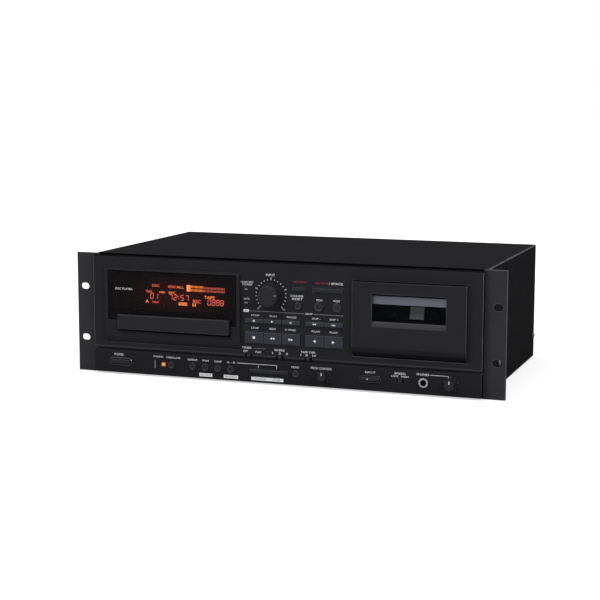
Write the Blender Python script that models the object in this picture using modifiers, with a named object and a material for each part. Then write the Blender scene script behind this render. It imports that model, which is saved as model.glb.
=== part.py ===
"""Rack mounted CD player with a cassette deck, three rack units high.

Metres, +Z up, +X to the right seen from the front, the front looks along -Y.
The parts are laid out from the front face of the rack ears, y = 0 in the deck's own space,
and an empty moves the deck so that the model is centred over its footprint.
"""

import math

import bmesh
import bpy
from mathutils import Matrix, Vector

# Clearances and cutting
GAP = 0.0003                    # between pieces that touch on the real deck
RUN = 0.0005                    # running clearance round keys, knobs and the door
SLIDE = 0.0007                  # running clearance of the tray in its rails
OVERRUN = 0.002                 # how far a cutter reaches past the face that it cuts
FUSE = 0.0004                   # how deep a boss is sunk in what it is moulded with
WELD = 0.00001

# Facets
KNOB_RIBS = 26
SMALL_KNOB_RIBS = 14
BUTTON_SIDES = 16
BORE_SIDES = 20
DISC_SIDES = 44
ARC_STEPS = 6
CORNER_STEPS = 2

# Rack panel, 19 inch and three units
RACK_WIDTH = 0.4826
RACK_HEIGHT = 0.1325
EAR_THICKNESS = 0.003
EAR_LEG_THICKNESS = 0.002
EAR_LEG_LENGTH = 0.055
EAR_REACH = 0.02065             # of each ear past the cover
SLOT_INSET = 0.00875            # slot centres from the ends of the panel
SLOT_PITCH = 0.05715
SLOT_WIDTH = 0.0103
SLOT_HEIGHT = 0.0070

# Sheet metal case
CASE_DEPTH = 0.255
COVER_SHEET = 0.0010
COVER_DROP = 0.0002             # cover top below the top of the ears
COVER_FRONT = 0.0067
PAN_SHEET = 0.0012
PAN_WALL_HEIGHT = 0.030
UPRIGHT_BACK = 0.012            # front upright of the pan behind the ear plane
TOP_FLANGE = 0.012
REAR_SHEET = 0.0012
FOLD_RADIUS = 0.0015

# Moulded front
FASCIA_SIDE = 0.00215           # cover past the fascia on each side
FASCIA_TOP_DROP = 0.0013
FACE_PROUD = 0.006
STRIP_PROUD = 0.008
STRIP_TOP = 0.0265
FASCIA_WALL = 0.0025
FASCIA_BACK = 0.005
REBATE = 0.0032
LIP_RADIUS = 0.0035
EDGE_RADIUS = 0.002
STRIP_EDGE = 0.0015
GROOVE = 0.001
BOSS_RADIUS = 0.003

# Display and tray surround
BEZEL_CHEEK = 0.0141            # on each side of the tray front
BEZEL_MARGIN = 0.0151
BEZEL_PROUD = 0.0095
BEZEL_TOP_MARGIN = 0.0139       # below the top of the fascia
BEZEL_FOOT = 0.0095             # lowest visible edge above the lower strip
BEZEL_WALL = 0.0025
BEZEL_BACK = 0.002
BEZEL_CURVE = 0.013
WINDOW_RIM = 0.0035
WINDOW_TOP_RIM = 0.0015
WINDOW_BOTTOM_SHARE = 0.300     # of the surround's height
WINDOW_THICKNESS = 0.002
WINDOW_SUNK = 0.0008
WINDOW_LEDGE = 0.003

# Disc tray and its drive
TRAY_FRONT_WIDTH = 0.131
TRAY_FRONT_HEIGHT = 0.0162
TRAY_FRONT_PROUD = 0.014
TRAY_FRONT_DEPTH = 0.006
TRAY_OFFSET = 0.0031            # tray centre right of the surround's centre
TRAY_FRONT_Z_SHARE = 0.2866     # centre of the tray front, of the surround's height
TRAY_FRONT_SIDE = 0.0025        # tray front past the tray on each side
TRAY_LENGTH = 0.150
TRAY_THICKNESS = 0.0062
TRAY_TRAVEL = 0.128
TRAY_RUNNER = 0.0022
TRAY_RUNNER_HEIGHT = 0.0020
DISC_DIAMETER = 0.120
SMALL_DISC_DIAMETER = 0.080
DISC_FIT = 0.0010
DISC_WELL = 0.0024
SMALL_WELL = 0.0014
DISC_BACK = 0.064               # disc centre behind the tray's front end
TRAY_SLOT_WIDTH = 0.042
RAIL_THICKNESS = 0.0045
LOADER_FLOOR = 0.0022
LOADER_DEPTH = 0.162
LOADER_DROP = 0.0085            # space under the tray for the rack, pinion and turntable
LOADER_RISE = 0.0065            # rails above the tray's top
BRIDGE_LENGTH = 0.030
BRIDGE_THICKNESS = 0.0025
CLAMP_DIAMETER = 0.030
LEG_SIZE = 0.009
GEAR_MODULE = 0.0012
PINION_TEETH = 14
RACK_TEETH = 37
GEAR_HEIGHT = 0.0026
GEAR_BACKLASH = 0.00045
PINION_SHAFT_RADIUS = 0.0020
PRESSURE_ANGLE = math.radians(20)
TURNTABLE_DIAMETER = 0.030
TURNTABLE_HEIGHT = 0.0034
HUB_DIAMETER = 0.0148
SPINDLE_RADIUS = 0.0016
PICKUP_LENGTH = 0.016

# Cassette door, holder and transport
CASSETTE_WIDTH = 0.1004
CASSETTE_HEIGHT = 0.0638
CASSETTE_DEPTH = 0.0123
CASSETTE_FIT = 0.0008
CASSETTE_SUNK = 0.0015          # top of a loaded cassette below the top of the door
REEL_SPACING = 0.0425
HEAD_TO_REEL = 0.029            # lower edge of a cassette to its reel centres
DOOR_SIDE = 0.0103              # door past the cassette on each side
DOOR_MARGIN = 0.0160
DOOR_PROUD = 0.011
DOOR_TOP_MARGIN = 0.0152
DOOR_FOOT = 0.0109              # lowest visible edge above the lower strip
DOOR_WALL = 0.0024
DOOR_BACK = 0.0034
DOOR_CURVE = 0.013
DOOR_LIP_ANGLE = math.radians(70)
PIN_RADIUS = 0.0015
PIN_LENGTH = 0.0019
LUG_RADIUS = 0.0045
VIEW_SIDE = 0.02125             # frame on each side of the view opening
VIEW_HEIGHT = 0.0273
VIEW_TOP_MARGIN = 0.0123
SILL_HEIGHT = 0.0070
SILL_DEPTH = 0.003
PANE_THICKNESS = 0.0020
PANE_MARGIN = 0.0035
HOLDER_SHEET = 0.0010
HOLDER_BAND_HEIGHT = 0.0085
HOLDER_LIP = 0.0060
TRANSPORT_BACK = 0.012          # front of the transport plate
TRANSPORT_SHEET = 0.002
TRANSPORT_DEPTH = 0.038
CHEEK = 0.0020
REEL_RADIUS = 0.0045
REEL_REACH = 0.0085
REEL_SHAFT_RADIUS = 0.0014
CAPSTAN_RADIUS = 0.0010
CAPSTAN_SPACING = 0.060
CAPSTAN_RISE = 0.0042
CAPSTAN_REACH = 0.0130
HEAD_TRAVEL = 0.0055
HEAD_WIDTH = 0.013
HEAD_HEIGHT = 0.0075
BRIDGE_WIDTH = 0.069
ROLLER_RADIUS = 0.0040
ROLLER_LENGTH = 0.0070
BRIDGE_SETBACK = 0.0040         # bridge and rollers behind the front of a cassette
HEAD_SETBACK = 0.0006

# Keys, buttons, knobs and switches
KEY_GAP = 0.0006
KEY_PROUD = 0.0022
SMALL_KEY_HEIGHT = 0.0046
LARGE_KEY_HEIGHT = 0.0123
KEY_CHAMFER = 0.0006
KEY_FLANGE = 0.0010
KEY_FLANGE_DEPTH = 0.0010
KEY_BODY_BACK = 0.0022          # back of a key's flange behind the fascia wall
RECORD_HEIGHT = 0.0045
ROUND_PROUD = 0.0020
ROUND_MEDIUM = 0.0070
ROUND_SMALL = 0.0066
INPUT_KNOB_HEIGHT = 0.011
PITCH_KNOB_DIAMETER = 0.0105
PHONES_KNOB_DIAMETER = 0.0120
SMALL_KNOB_HEIGHT = 0.0085
KNOB_SHAFT_RADIUS = 0.0030
KNOB_SKIRT = 0.0018
POWER_WIDTH = 0.0238
POWER_HEIGHT = 0.0050
POWER_PROUD = 0.0020
EJECT_WIDTH = 0.0210
EJECT_HEIGHT = 0.0042
SWITCH_WIDTH = 0.0036
SWITCH_HEIGHT = 0.0034
SWITCH_PROUD = 0.0018
SWITCH_TRAVEL = 0.0020
ROCKER_HEIGHT = 0.0038
ROCKER_TILT = math.radians(2.5)
LAMP_WIDTH = 0.0048
LAMP_HEIGHT = 0.0042
JACK_NUT_DIAMETER = 0.0102
JACK_BORE = 0.0064
JACK_PROUD = 0.0016
JACK_BODY = 0.0130
JACK_LENGTH = 0.0164

# Boards, transformer and rear connectors
BOARD = 0.0016
GLASS_MARGIN = 0.0021           # display glass inside its opening
MAIN_BOARD_WIDTH = 0.150
MAIN_BOARD_DEPTH = 0.120
MAIN_BOARD_LIFT = 0.008
STANDOFF = 0.003
TRANSFORMER_WIDTH = 0.062
TRANSFORMER_DEPTH = 0.052
TRANSFORMER_HEIGHT = 0.052
TRANSFORMER_FOOT = 0.0015
TRANSFORMER_MARGIN = 0.006      # foot to the side wall
JACK_ROW_PITCH = 0.018
JACK_COLUMN_PITCH = 0.026
PHONO_COLUMNS = 3
PHONO_RADIUS = 0.0042
PHONO_BORE = 0.0018
PHONO_REACH = 0.0095
PHONO_BLOCK_DEPTH = 0.012
INLET_WIDTH = 0.0310
INLET_HEIGHT = 0.0240
INLET_FLANGE = 0.002
INLET_BODY_WIDTH = 0.0272
INLET_BODY_HEIGHT = 0.0198
INLET_BODY_DEPTH = 0.022
INLET_CAVITY_WIDTH = 0.0242
INLET_CAVITY_HEIGHT = 0.0164
INLET_CAVITY_DEPTH = 0.0160
BLADE_WIDTH = 0.0020
BLADE_HEIGHT = 0.0040
BLADE_LENGTH = 0.0105
BLADE_SPACING = 0.0140
BLADE_DROP = 0.0040

# Places and sizes on the front, as shares of the space between the surround and the door
INPUT_KNOB_SHARES = (-0.224, 0.664)
INPUT_KNOB_SIZE_SHARE = 0.2068
ROUND_LARGE_SHARE = 0.0716
RESET_SIZE_SHARE = 0.0557
RECORD_SHARES = (0.032, 0.741)
RECORD_WIDTH_SHARE = 0.1225
MUTE_SHARES = (0.284, 0.741)
MUTE_WIDTH_SHARE = 0.266
RESET_SHARES = (0.020, 0.573)
MONITOR_SHARES = (0.2025, 0.573)
COUNTER_SHARES = (0.362, 0.573)
KEY_PITCH_SHARE = 0.1655
FIRST_KEY_SHARE = -0.373
KEY_GROUP_SHARE = 0.0446
SMALL_KEY_ROW_SHARE = 0.398
LARGE_KEY_ROW_SHARE = 0.226
GROOVE_SWITCH_SHARES = (-0.428, -0.147, 0.108)

# Places on the lower strip, as shares of the fascia's width from its middle
STRIP_ROW_SHARE = 0.512
POWER_SHARE = -0.425
LAMP_SHARE = -0.307
OPEN_SHARE = -0.284
STRIP_BUTTON_SHARES = (-0.2268, -0.1929, -0.1590, -0.1252)
ROCKER_SHARE = -0.025
ROCKER_WIDTH_SHARE = 0.099
MEMORY_SHARE = 0.0444
PITCH_SHARE = 0.115
EJECT_SHARE = 0.231
STRIP_SWITCH_SHARE = 0.3046
JACK_SHARE = 0.362
PHONES_KNOB_SHARE = 0.4275

# Places inside, as shares of the cover's width from its middle
MAIN_BOARD_SHARE = 0.195
INLET_SHARE = -0.400
PHONO_SHARE = 0.270
INLET_Z_SHARE = 0.26
PHONO_Z_SHARE = 0.30

# Worked out from the sizes above
COVER_WIDTH = RACK_WIDTH - 2 * EAR_REACH
FASCIA_WIDTH = COVER_WIDTH - 2 * FASCIA_SIDE
SLOT_SPACING = RACK_WIDTH - 2 * SLOT_INSET
TRAY_WIDTH = TRAY_FRONT_WIDTH - 2 * TRAY_FRONT_SIDE
BEZEL_WIDTH = TRAY_FRONT_WIDTH + 2 * BEZEL_CHEEK
DOOR_WIDTH = CASSETTE_WIDTH + 2 * DOOR_SIDE
VIEW_WIDTH = DOOR_WIDTH - 2 * VIEW_SIDE
HALF_RACK = RACK_WIDTH / 2
HALF_FASCIA = FASCIA_WIDTH / 2
COVER_INNER = COVER_WIDTH / 2 - COVER_SHEET
EAR_LEG_OUTER = COVER_INNER - GAP
EAR_LEG_INNER = EAR_LEG_OUTER - EAR_LEG_THICKNESS
PAN_OUTER = EAR_LEG_INNER - GAP
PAN_INNER = PAN_OUTER - PAN_SHEET
COVER_TOP = RACK_HEIGHT - COVER_DROP
COVER_UNDER = COVER_TOP - COVER_SHEET
PAN_TOP = COVER_UNDER - GAP
PAN_REAR = CASE_DEPTH - REAR_SHEET - GAP

FASCIA_BOTTOM = PAN_SHEET + GAP
FASCIA_TOP = RACK_HEIGHT - FASCIA_TOP_DROP
FACE_HEIGHT = FASCIA_TOP - STRIP_TOP
FACE_INNER = -FACE_PROUD + FASCIA_WALL
STRIP_INNER = -STRIP_PROUD + FASCIA_WALL
LIP_CENTRE_Z = STRIP_TOP + GROOVE + LIP_RADIUS
STRIP_ROW_Z = FASCIA_BOTTOM + STRIP_ROW_SHARE * (STRIP_TOP - FASCIA_BOTTOM)
BOARD_FRONT = FASCIA_BACK + GAP
BOARD_BACK = BOARD_FRONT + BOARD

BEZEL_LEFT = -HALF_FASCIA + BEZEL_MARGIN
BEZEL_RIGHT = BEZEL_LEFT + BEZEL_WIDTH
BEZEL_X = (BEZEL_LEFT + BEZEL_RIGHT) / 2
BEZEL_TOP = FASCIA_TOP - BEZEL_TOP_MARGIN
BEZEL_BOTTOM = STRIP_TOP + BEZEL_FOOT
BEZEL_HEIGHT = BEZEL_TOP - BEZEL_BOTTOM
WINDOW_BOTTOM = BEZEL_BOTTOM + WINDOW_BOTTOM_SHARE * BEZEL_HEIGHT
WINDOW_TOP = BEZEL_TOP - WINDOW_TOP_RIM
WINDOW_HALF = BEZEL_WIDTH / 2 - WINDOW_RIM

TRAY_X = BEZEL_X + TRAY_OFFSET
TRAY_FRONT_Z = BEZEL_BOTTOM + TRAY_FRONT_Z_SHARE * BEZEL_HEIGHT
OPENING_BOTTOM = TRAY_FRONT_Z + TRAY_FRONT_HEIGHT / 2 + RUN + WINDOW_LEDGE
OPENING_TOP = WINDOW_TOP - WINDOW_LEDGE
TRAY_FRONT_BACK = -TRAY_FRONT_PROUD + TRAY_FRONT_DEPTH
TRAY_START = TRAY_FRONT_BACK + GAP
TRAY_END = TRAY_START + TRAY_LENGTH
TRAY_TOP = TRAY_FRONT_Z + TRAY_THICKNESS / 2
TRAY_UNDER = TRAY_TOP - TRAY_THICKNESS
DISC_Y = TRAY_START + DISC_BACK
RAIL_INNER = TRAY_WIDTH / 2 + SLIDE
RAIL_OUTER = RAIL_INNER + RAIL_THICKNESS
LOADER_FLOOR_TOP = TRAY_UNDER - LOADER_DROP
LOADER_BOTTOM = LOADER_FLOOR_TOP - LOADER_FLOOR
RAIL_TOP = TRAY_TOP + LOADER_RISE
LOADER_FRONT = BOARD_BACK + GAP
LOADER_REAR = LOADER_FRONT + LOADER_DEPTH
PINION_RADIUS = GEAR_MODULE * PINION_TEETH / 2
GEAR_PITCH = math.pi * GEAR_MODULE
GEAR_TOP = TRAY_UNDER - GAP
GEAR_BOTTOM = GEAR_TOP - GEAR_HEIGHT
PINION_Y = LOADER_FRONT + PINION_RADIUS + GEAR_MODULE + RAIL_THICKNESS
RACK_X = TRAY_X - TRAY_WIDTH / 2 + RAIL_THICKNESS
PINION_X = RACK_X + PINION_RADIUS

DOOR_RIGHT = HALF_FASCIA - DOOR_MARGIN
DOOR_LEFT = DOOR_RIGHT - DOOR_WIDTH
DOOR_X = (DOOR_LEFT + DOOR_RIGHT) / 2
DOOR_TOP = FASCIA_TOP - DOOR_TOP_MARGIN
DOOR_HINGE_Y = -DOOR_PROUD + DOOR_CURVE
DOOR_MEETS_FACE = math.acos((FACE_PROUD + DOOR_HINGE_Y) / DOOR_CURVE)
DOOR_HINGE_Z = STRIP_TOP + DOOR_FOOT + DOOR_CURVE * math.sin(DOOR_MEETS_FACE)
DOOR_INNER = -DOOR_PROUD + DOOR_WALL
VIEW_TOP = DOOR_TOP - VIEW_TOP_MARGIN
VIEW_BOTTOM = VIEW_TOP - VIEW_HEIGHT
PANE_FRONT = DOOR_INNER + GAP
PANE_BACK = PANE_FRONT + PANE_THICKNESS
HOLDER_FRONT = PANE_BACK + GAP
HOLDER_FLANGE_BACK = HOLDER_FRONT + HOLDER_SHEET
HOLDER_BACK = HOLDER_FLANGE_BACK + CASSETTE_DEPTH + CASSETTE_FIT / 2
HOLDER_INNER = CASSETTE_WIDTH / 2 + CASSETTE_FIT
HOLDER_OUTER = HOLDER_INNER + HOLDER_SHEET
CASSETTE_TOP = DOOR_TOP - CASSETTE_SUNK
CASSETTE_BOTTOM = CASSETTE_TOP - CASSETTE_HEIGHT
REEL_Z = CASSETTE_BOTTOM + HEAD_TO_REEL
TRANSPORT_REAR = TRANSPORT_BACK + TRANSPORT_SHEET + TRANSPORT_DEPTH
TRANSPORT_HALF = DOOR_WIDTH / 2 + RUN + GAP + CHEEK
TRANSPORT_TOP = DOOR_TOP + RUN + CHEEK
TRANSPORT_BOTTOM = DOOR_HINGE_Z - DOOR_CURVE - RUN - CHEEK
BRIDGE_TOP = CASSETTE_BOTTOM - HEAD_HEIGHT - GAP

SECTION_X = (BEZEL_RIGHT + DOOR_LEFT) / 2
SECTION_WIDTH = DOOR_LEFT - BEZEL_RIGHT
KEY_PITCH = KEY_PITCH_SHARE * SECTION_WIDTH
KEY_WIDTH = KEY_PITCH - KEY_GAP
FIRST_KEY_X = SECTION_X + FIRST_KEY_SHARE * SECTION_WIDTH
KEY_GROUP_GAP = KEY_GROUP_SHARE * SECTION_WIDTH
RECORD_WIDTH = RECORD_WIDTH_SHARE * SECTION_WIDTH
MUTE_WIDTH = MUTE_WIDTH_SHARE * SECTION_WIDTH
ROCKER_WIDTH = ROCKER_WIDTH_SHARE * FASCIA_WIDTH
INPUT_KNOB_DIAMETER = INPUT_KNOB_SIZE_SHARE * SECTION_WIDTH
ROUND_LARGE = ROUND_LARGE_SHARE * SECTION_WIDTH
RESET_SIZE = RESET_SIZE_SHARE * SECTION_WIDTH
TRANSFORMER_X = -PAN_INNER + TRANSFORMER_MARGIN + LEG_SIZE + TRANSFORMER_WIDTH / 2

FRONT_REACH = max(FACE_PROUD + INPUT_KNOB_HEIGHT, STRIP_PROUD + SMALL_KNOB_HEIGHT, TRAY_FRONT_PROUD)
REAR_REACH = CASE_DEPTH + PHONO_REACH
DECK_Y = (FRONT_REACH - REAR_REACH) / 2

# Colours, roughness and metallic value of each finish
FINISHES = {
    "case_paint": ((0.020, 0.020, 0.022), 0.55, 0.6),
    "ear_paint": ((0.036, 0.036, 0.039), 0.50, 0.6),
    "fascia_plastic": ((0.024, 0.024, 0.027), 0.50, 0.0),
    "bezel_plastic": ((0.034, 0.034, 0.038), 0.45, 0.0),
    "smoked_window": ((0.006, 0.006, 0.007), 0.12, 0.0),
    "clear_window": ((0.050, 0.055, 0.065), 0.10, 0.0),
    "key_plastic": ((0.033, 0.038, 0.046), 0.45, 0.0),
    "knob_plastic": ((0.026, 0.027, 0.031), 0.42, 0.0),
    "inner_plastic": ((0.018, 0.018, 0.020), 0.60, 0.0),
    "plated_steel": ((0.420, 0.430, 0.450), 0.35, 1.0),
    "chrome": ((0.750, 0.750, 0.770), 0.12, 1.0),
    "lamp": ((0.900, 0.260, 0.030), 0.30, 0.0),
    "board_green": ((0.020, 0.090, 0.040), 0.55, 0.0),
    "white_plastic": ((0.600, 0.600, 0.580), 0.50, 0.0),
}


def make_materials():
    """One Principled material for each finish."""
    materials = {}
    for name, (colour, roughness, metallic) in FINISHES.items():
        material = bpy.data.materials.new(name)
        material.use_nodes = True
        shader = material.node_tree.nodes["Principled BSDF"]
        shader.inputs["Base Color"].default_value = (*colour, 1.0)
        shader.inputs["Roughness"].default_value = roughness
        shader.inputs["Metallic"].default_value = metallic
        materials[name] = material
    return materials


def clear_scene():
    """Remove every object, so that the script can be run again."""
    for old in list(bpy.data.objects):
        bpy.data.objects.remove(old, do_unlink=True)


clear_scene()
MATERIALS = make_materials()
PARTS = bpy.data.collections.new("cd_player")
CUTTERS = bpy.data.collections.new("cutters")
bpy.context.scene.collection.children.link(PARTS)
bpy.context.scene.collection.children.link(CUTTERS)
DECK = bpy.data.objects.new("deck_frame", None)
DECK.location = (0, DECK_Y, 0)
PARTS.objects.link(DECK)


def add_object(name, mesh, finish=None):
    """A part in the deck's frame, or a cutter when it has no finish."""
    made = bpy.data.objects.new(name, mesh)
    made.parent = DECK
    if finish is None:
        CUTTERS.objects.link(made)
        made.hide_render = True
        made.display_type = "WIRE"
    else:
        PARTS.objects.link(made)
        mesh.materials.clear()
        mesh.materials.append(MATERIALS[finish])
    return made


def mesh_from(name, work):
    """Turn a bmesh into a mesh and free it."""
    bmesh.ops.recalc_face_normals(work, faces=work.faces)
    mesh = bpy.data.meshes.new(name)
    work.to_mesh(mesh)
    work.free()
    return mesh


def box_into(work, low, high):
    """Add a box between two corners to a bmesh."""
    size = Vector(high) - Vector(low)
    middle = (Vector(high) + Vector(low)) / 2
    place = Matrix.Translation(middle) @ Matrix.Diagonal((*size, 1))
    bmesh.ops.create_cube(work, size=1, matrix=place)


def box(name, low, high, finish=None, edge=0, segments=2):
    """A box between two corners, its edges rounded when edge is given."""
    work = bmesh.new()
    box_into(work, low, high)
    made = add_object(name, mesh_from(name, work), finish)
    if edge:
        bevel = made.modifiers.new("edges", "BEVEL")
        bevel.width = edge
        bevel.segments = segments
        bevel.limit_method = "ANGLE"
    return made


TURNS = {"X": Matrix.Rotation(math.radians(90), 4, "Y"),
         "Y": Matrix.Rotation(math.radians(-90), 4, "X"),
         "Z": Matrix.Identity(4)}


def rod_into(work, start, length, radius, axis, sides=BORE_SIDES, end_radius=None):
    """Add a rod that starts at a point and runs towards + along an axis."""
    along = Vector([float(axis == letter) for letter in "XYZ"])
    middle = Vector(start) + along * length / 2
    far_radius = radius if end_radius is None else end_radius
    bmesh.ops.create_cone(work, cap_ends=True, segments=sides, radius1=radius,
                          radius2=far_radius, depth=length,
                          matrix=Matrix.Translation(middle) @ TURNS[axis])


def rod(name, start, length, radius, axis, finish=None, sides=BORE_SIDES):
    """A rod as an object of its own."""
    work = bmesh.new()
    rod_into(work, start, length, radius, axis, sides)
    return add_object(name, mesh_from(name, work), finish)


def boxes(name, corners, finish=None):
    """Several boxes that don't touch, as one cutter."""
    work = bmesh.new()
    for low, high in corners:
        box_into(work, low, high)
    return add_object(name, mesh_from(name, work), finish)


def rods(name, places, length, radius, axis, sides=BORE_SIDES):
    """Several equal rods that don't touch, as one cutter."""
    work = bmesh.new()
    for place in places:
        rod_into(work, place, length, radius, axis, sides)
    return add_object(name, mesh_from(name, work))


def prism(name, outline, low, high, axis, finish=None):
    """A flat outline drawn as a filled 2D curve and made thick along an axis.

    Along X the outline holds (y, z) points, along Y (x, z) points and along Z (x, y) points.
    """
    curve = bpy.data.curves.new(name, "CURVE")
    curve.dimensions = "2D"
    curve.fill_mode = "BOTH"
    curve.extrude = (high - low) / 2
    spline = curve.splines.new("POLY")
    spline.points.add(len(outline) - 1)
    for point, (across, along) in zip(spline.points, outline):
        point.co = (across, along, 0, 1)
    spline.use_cyclic_u = True
    drawn = bpy.data.objects.new(name, curve)
    PARTS.objects.link(drawn)
    bpy.context.view_layer.update()
    evaluated = drawn.evaluated_get(bpy.context.evaluated_depsgraph_get())
    mesh = bpy.data.meshes.new_from_object(evaluated)
    middle = (low + high) / 2
    frames = {"X": Matrix(((0, 0, 1, middle), (1, 0, 0, 0), (0, 1, 0, 0), (0, 0, 0, 1))),
              "Y": Matrix(((1, 0, 0, 0), (0, 0, -1, middle), (0, 1, 0, 0), (0, 0, 0, 1))),
              "Z": Matrix(((1, 0, 0, 0), (0, 1, 0, 0), (0, 0, 1, middle), (0, 0, 0, 1)))}
    mesh.transform(frames[axis])
    work = bmesh.new()
    work.from_mesh(mesh)
    bmesh.ops.remove_doubles(work, verts=work.verts, dist=WELD)
    bpy.data.objects.remove(drawn, do_unlink=True)
    return add_object(name, mesh_from(name, work), finish)


def turned(name, profile, centre, finish, sides=BUTTON_SIDES):
    """A turned piece on an axis along Y. The profile holds (radius, reach to the front)."""
    mesh = bpy.data.meshes.new(name)
    points = [(radius, 0, reach) for radius, reach in profile]
    steps = [(i, i + 1) for i in range(len(points) - 1)]
    mesh.from_pydata(points, steps, [])
    made = add_object(name, mesh, finish)
    screw = made.modifiers.new("turn", "SCREW")
    screw.steps = sides
    screw.render_steps = sides
    screw.use_merge_vertices = True
    screw.merge_threshold = WELD
    screw.use_smooth_shade = False
    made.rotation_euler = (math.radians(90), 0, 0)
    made.location = centre
    return made


def loft(name, rings, finish):
    """Join rings of points, one after another, into a closed piece."""
    work = bmesh.new()
    rows = [[work.verts.new(point) for point in ring] for ring in rings]
    count = len(rows[0])
    for near, far in zip(rows, rows[1:]):
        for i in range(count):
            j = (i + 1) % count
            work.faces.new((near[i], near[j], far[j], far[i]))
    work.faces.new(rows[0])
    work.faces.new(rows[-1])
    return add_object(name, mesh_from(name, work), finish)


def modify(target, tool, operation):
    """One exact Boolean with another object."""
    step = target.modifiers.new(tool.name, "BOOLEAN")
    step.operation = operation
    step.solver = "EXACT"
    step.object = tool
    return target


def cut(target, *tools):
    """Take the tools out of the target."""
    for tool in tools:
        modify(target, tool, "DIFFERENCE")
    return target


def fuse(target, *tools):
    """Mould the tools to the target."""
    for tool in tools:
        modify(target, tool, "UNION")
    return target


def set_pivot(piece, point):
    """Put a piece's origin on its joint axis and leave its shape where it is."""
    piece.data.transform(Matrix.Translation(-Vector(point)))
    piece.location = point
    return piece


def arc(across, along, radius, start, end, steps=ARC_STEPS):
    """Points on an arc, in degrees, counted from the first axis of the outline."""
    points = []
    for i in range(steps + 1):
        angle = math.radians(start + (end - start) * i / steps)
        points.append((across + radius * math.cos(angle), along + radius * math.sin(angle)))
    return points


def rounded_ring(half_width, half_height, radius, y, centre, steps=CORNER_STEPS):
    """A rounded rectangle across Y, round a centre (x, z)."""
    ring = []
    corners = ((1, 1, 0), (-1, 1, 90), (-1, -1, 180), (1, -1, 270))
    for side, level, start in corners:
        across = centre[0] + side * (half_width - radius)
        along = centre[1] + level * (half_height - radius)
        ring += [(px, y, pz) for px, pz in arc(across, along, radius, start, start + 90, steps)]
    return ring


def section_place(shares):
    """A place in the section between the surround and the door."""
    return SECTION_X + shares[0] * SECTION_WIDTH, STRIP_TOP + shares[1] * FACE_HEIGHT


def strip_place(share):
    """A place in the row of controls on the lower strip."""
    return share * FASCIA_WIDTH, STRIP_ROW_Z


def key_columns():
    """Middles of the five key columns, three and then two."""
    columns = []
    for i in range(5):
        group = KEY_GROUP_GAP if i > 2 else 0
        columns.append(FIRST_KEY_X + i * KEY_PITCH + group)
    return columns


# Controls that are pressed: name, centre, width, height, height of the face in front of y = 0
KEY_NAMES = ("stop", "play", "pause", "skip_back", "skip_forward")
LARGE_KEY_NAMES = ("stop", "rewind", "wind", "reverse_play", "forward_play")
SMALL_KEY_Z = STRIP_TOP + SMALL_KEY_ROW_SHARE * FACE_HEIGHT
LARGE_KEY_Z = STRIP_TOP + LARGE_KEY_ROW_SHARE * FACE_HEIGHT
KEY_ROWS = (("disc", KEY_NAMES, SMALL_KEY_Z, SMALL_KEY_HEIGHT),
            ("tape", LARGE_KEY_NAMES, LARGE_KEY_Z, LARGE_KEY_HEIGHT))
ROUND_BUTTONS = (
    ("reset_button", section_place(RESET_SHARES), RESET_SIZE, FACE_PROUD),
    ("monitor_button", section_place(MONITOR_SHARES), ROUND_LARGE, FACE_PROUD),
    ("counter_button", section_place(COUNTER_SHARES), ROUND_LARGE, FACE_PROUD),
    ("tray_button", strip_place(OPEN_SHARE), ROUND_SMALL, STRIP_PROUD),
    ("repeat_button", strip_place(STRIP_BUTTON_SHARES[0]), ROUND_MEDIUM, STRIP_PROUD),
    ("program_button", strip_place(STRIP_BUTTON_SHARES[1]), ROUND_MEDIUM, STRIP_PROUD),
    ("display_button", strip_place(STRIP_BUTTON_SHARES[2]), ROUND_MEDIUM, STRIP_PROUD),
    ("search_button", strip_place(STRIP_BUTTON_SHARES[3]), ROUND_MEDIUM, STRIP_PROUD),
    ("memory_button", strip_place(MEMORY_SHARE), ROUND_MEDIUM, STRIP_PROUD),
)
BAR_BUTTONS = (
    ("record_button", section_place(RECORD_SHARES), RECORD_WIDTH, RECORD_HEIGHT, FACE_PROUD),
    ("mute_button", section_place(MUTE_SHARES), MUTE_WIDTH, RECORD_HEIGHT, FACE_PROUD),
    ("power_button", strip_place(POWER_SHARE), POWER_WIDTH, POWER_HEIGHT, STRIP_PROUD),
    ("eject_button", strip_place(EJECT_SHARE), EJECT_WIDTH, EJECT_HEIGHT, STRIP_PROUD),
    ("mode_rocker", strip_place(ROCKER_SHARE), ROCKER_WIDTH, ROCKER_HEIGHT, STRIP_PROUD),
)
KNOBS = (
    ("input_knob", section_place(INPUT_KNOB_SHARES), INPUT_KNOB_DIAMETER, INPUT_KNOB_HEIGHT,
     FACE_PROUD, KNOB_RIBS),
    ("pitch_knob", strip_place(PITCH_SHARE), PITCH_KNOB_DIAMETER, SMALL_KNOB_HEIGHT,
     STRIP_PROUD, SMALL_KNOB_RIBS),
    ("phones_knob", strip_place(PHONES_KNOB_SHARE), PHONES_KNOB_DIAMETER, SMALL_KNOB_HEIGHT,
     STRIP_PROUD, SMALL_KNOB_RIBS),
)
GROOVE_SWITCHES = ("timer_switch", "reverse_switch", "tape_switch")


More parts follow.
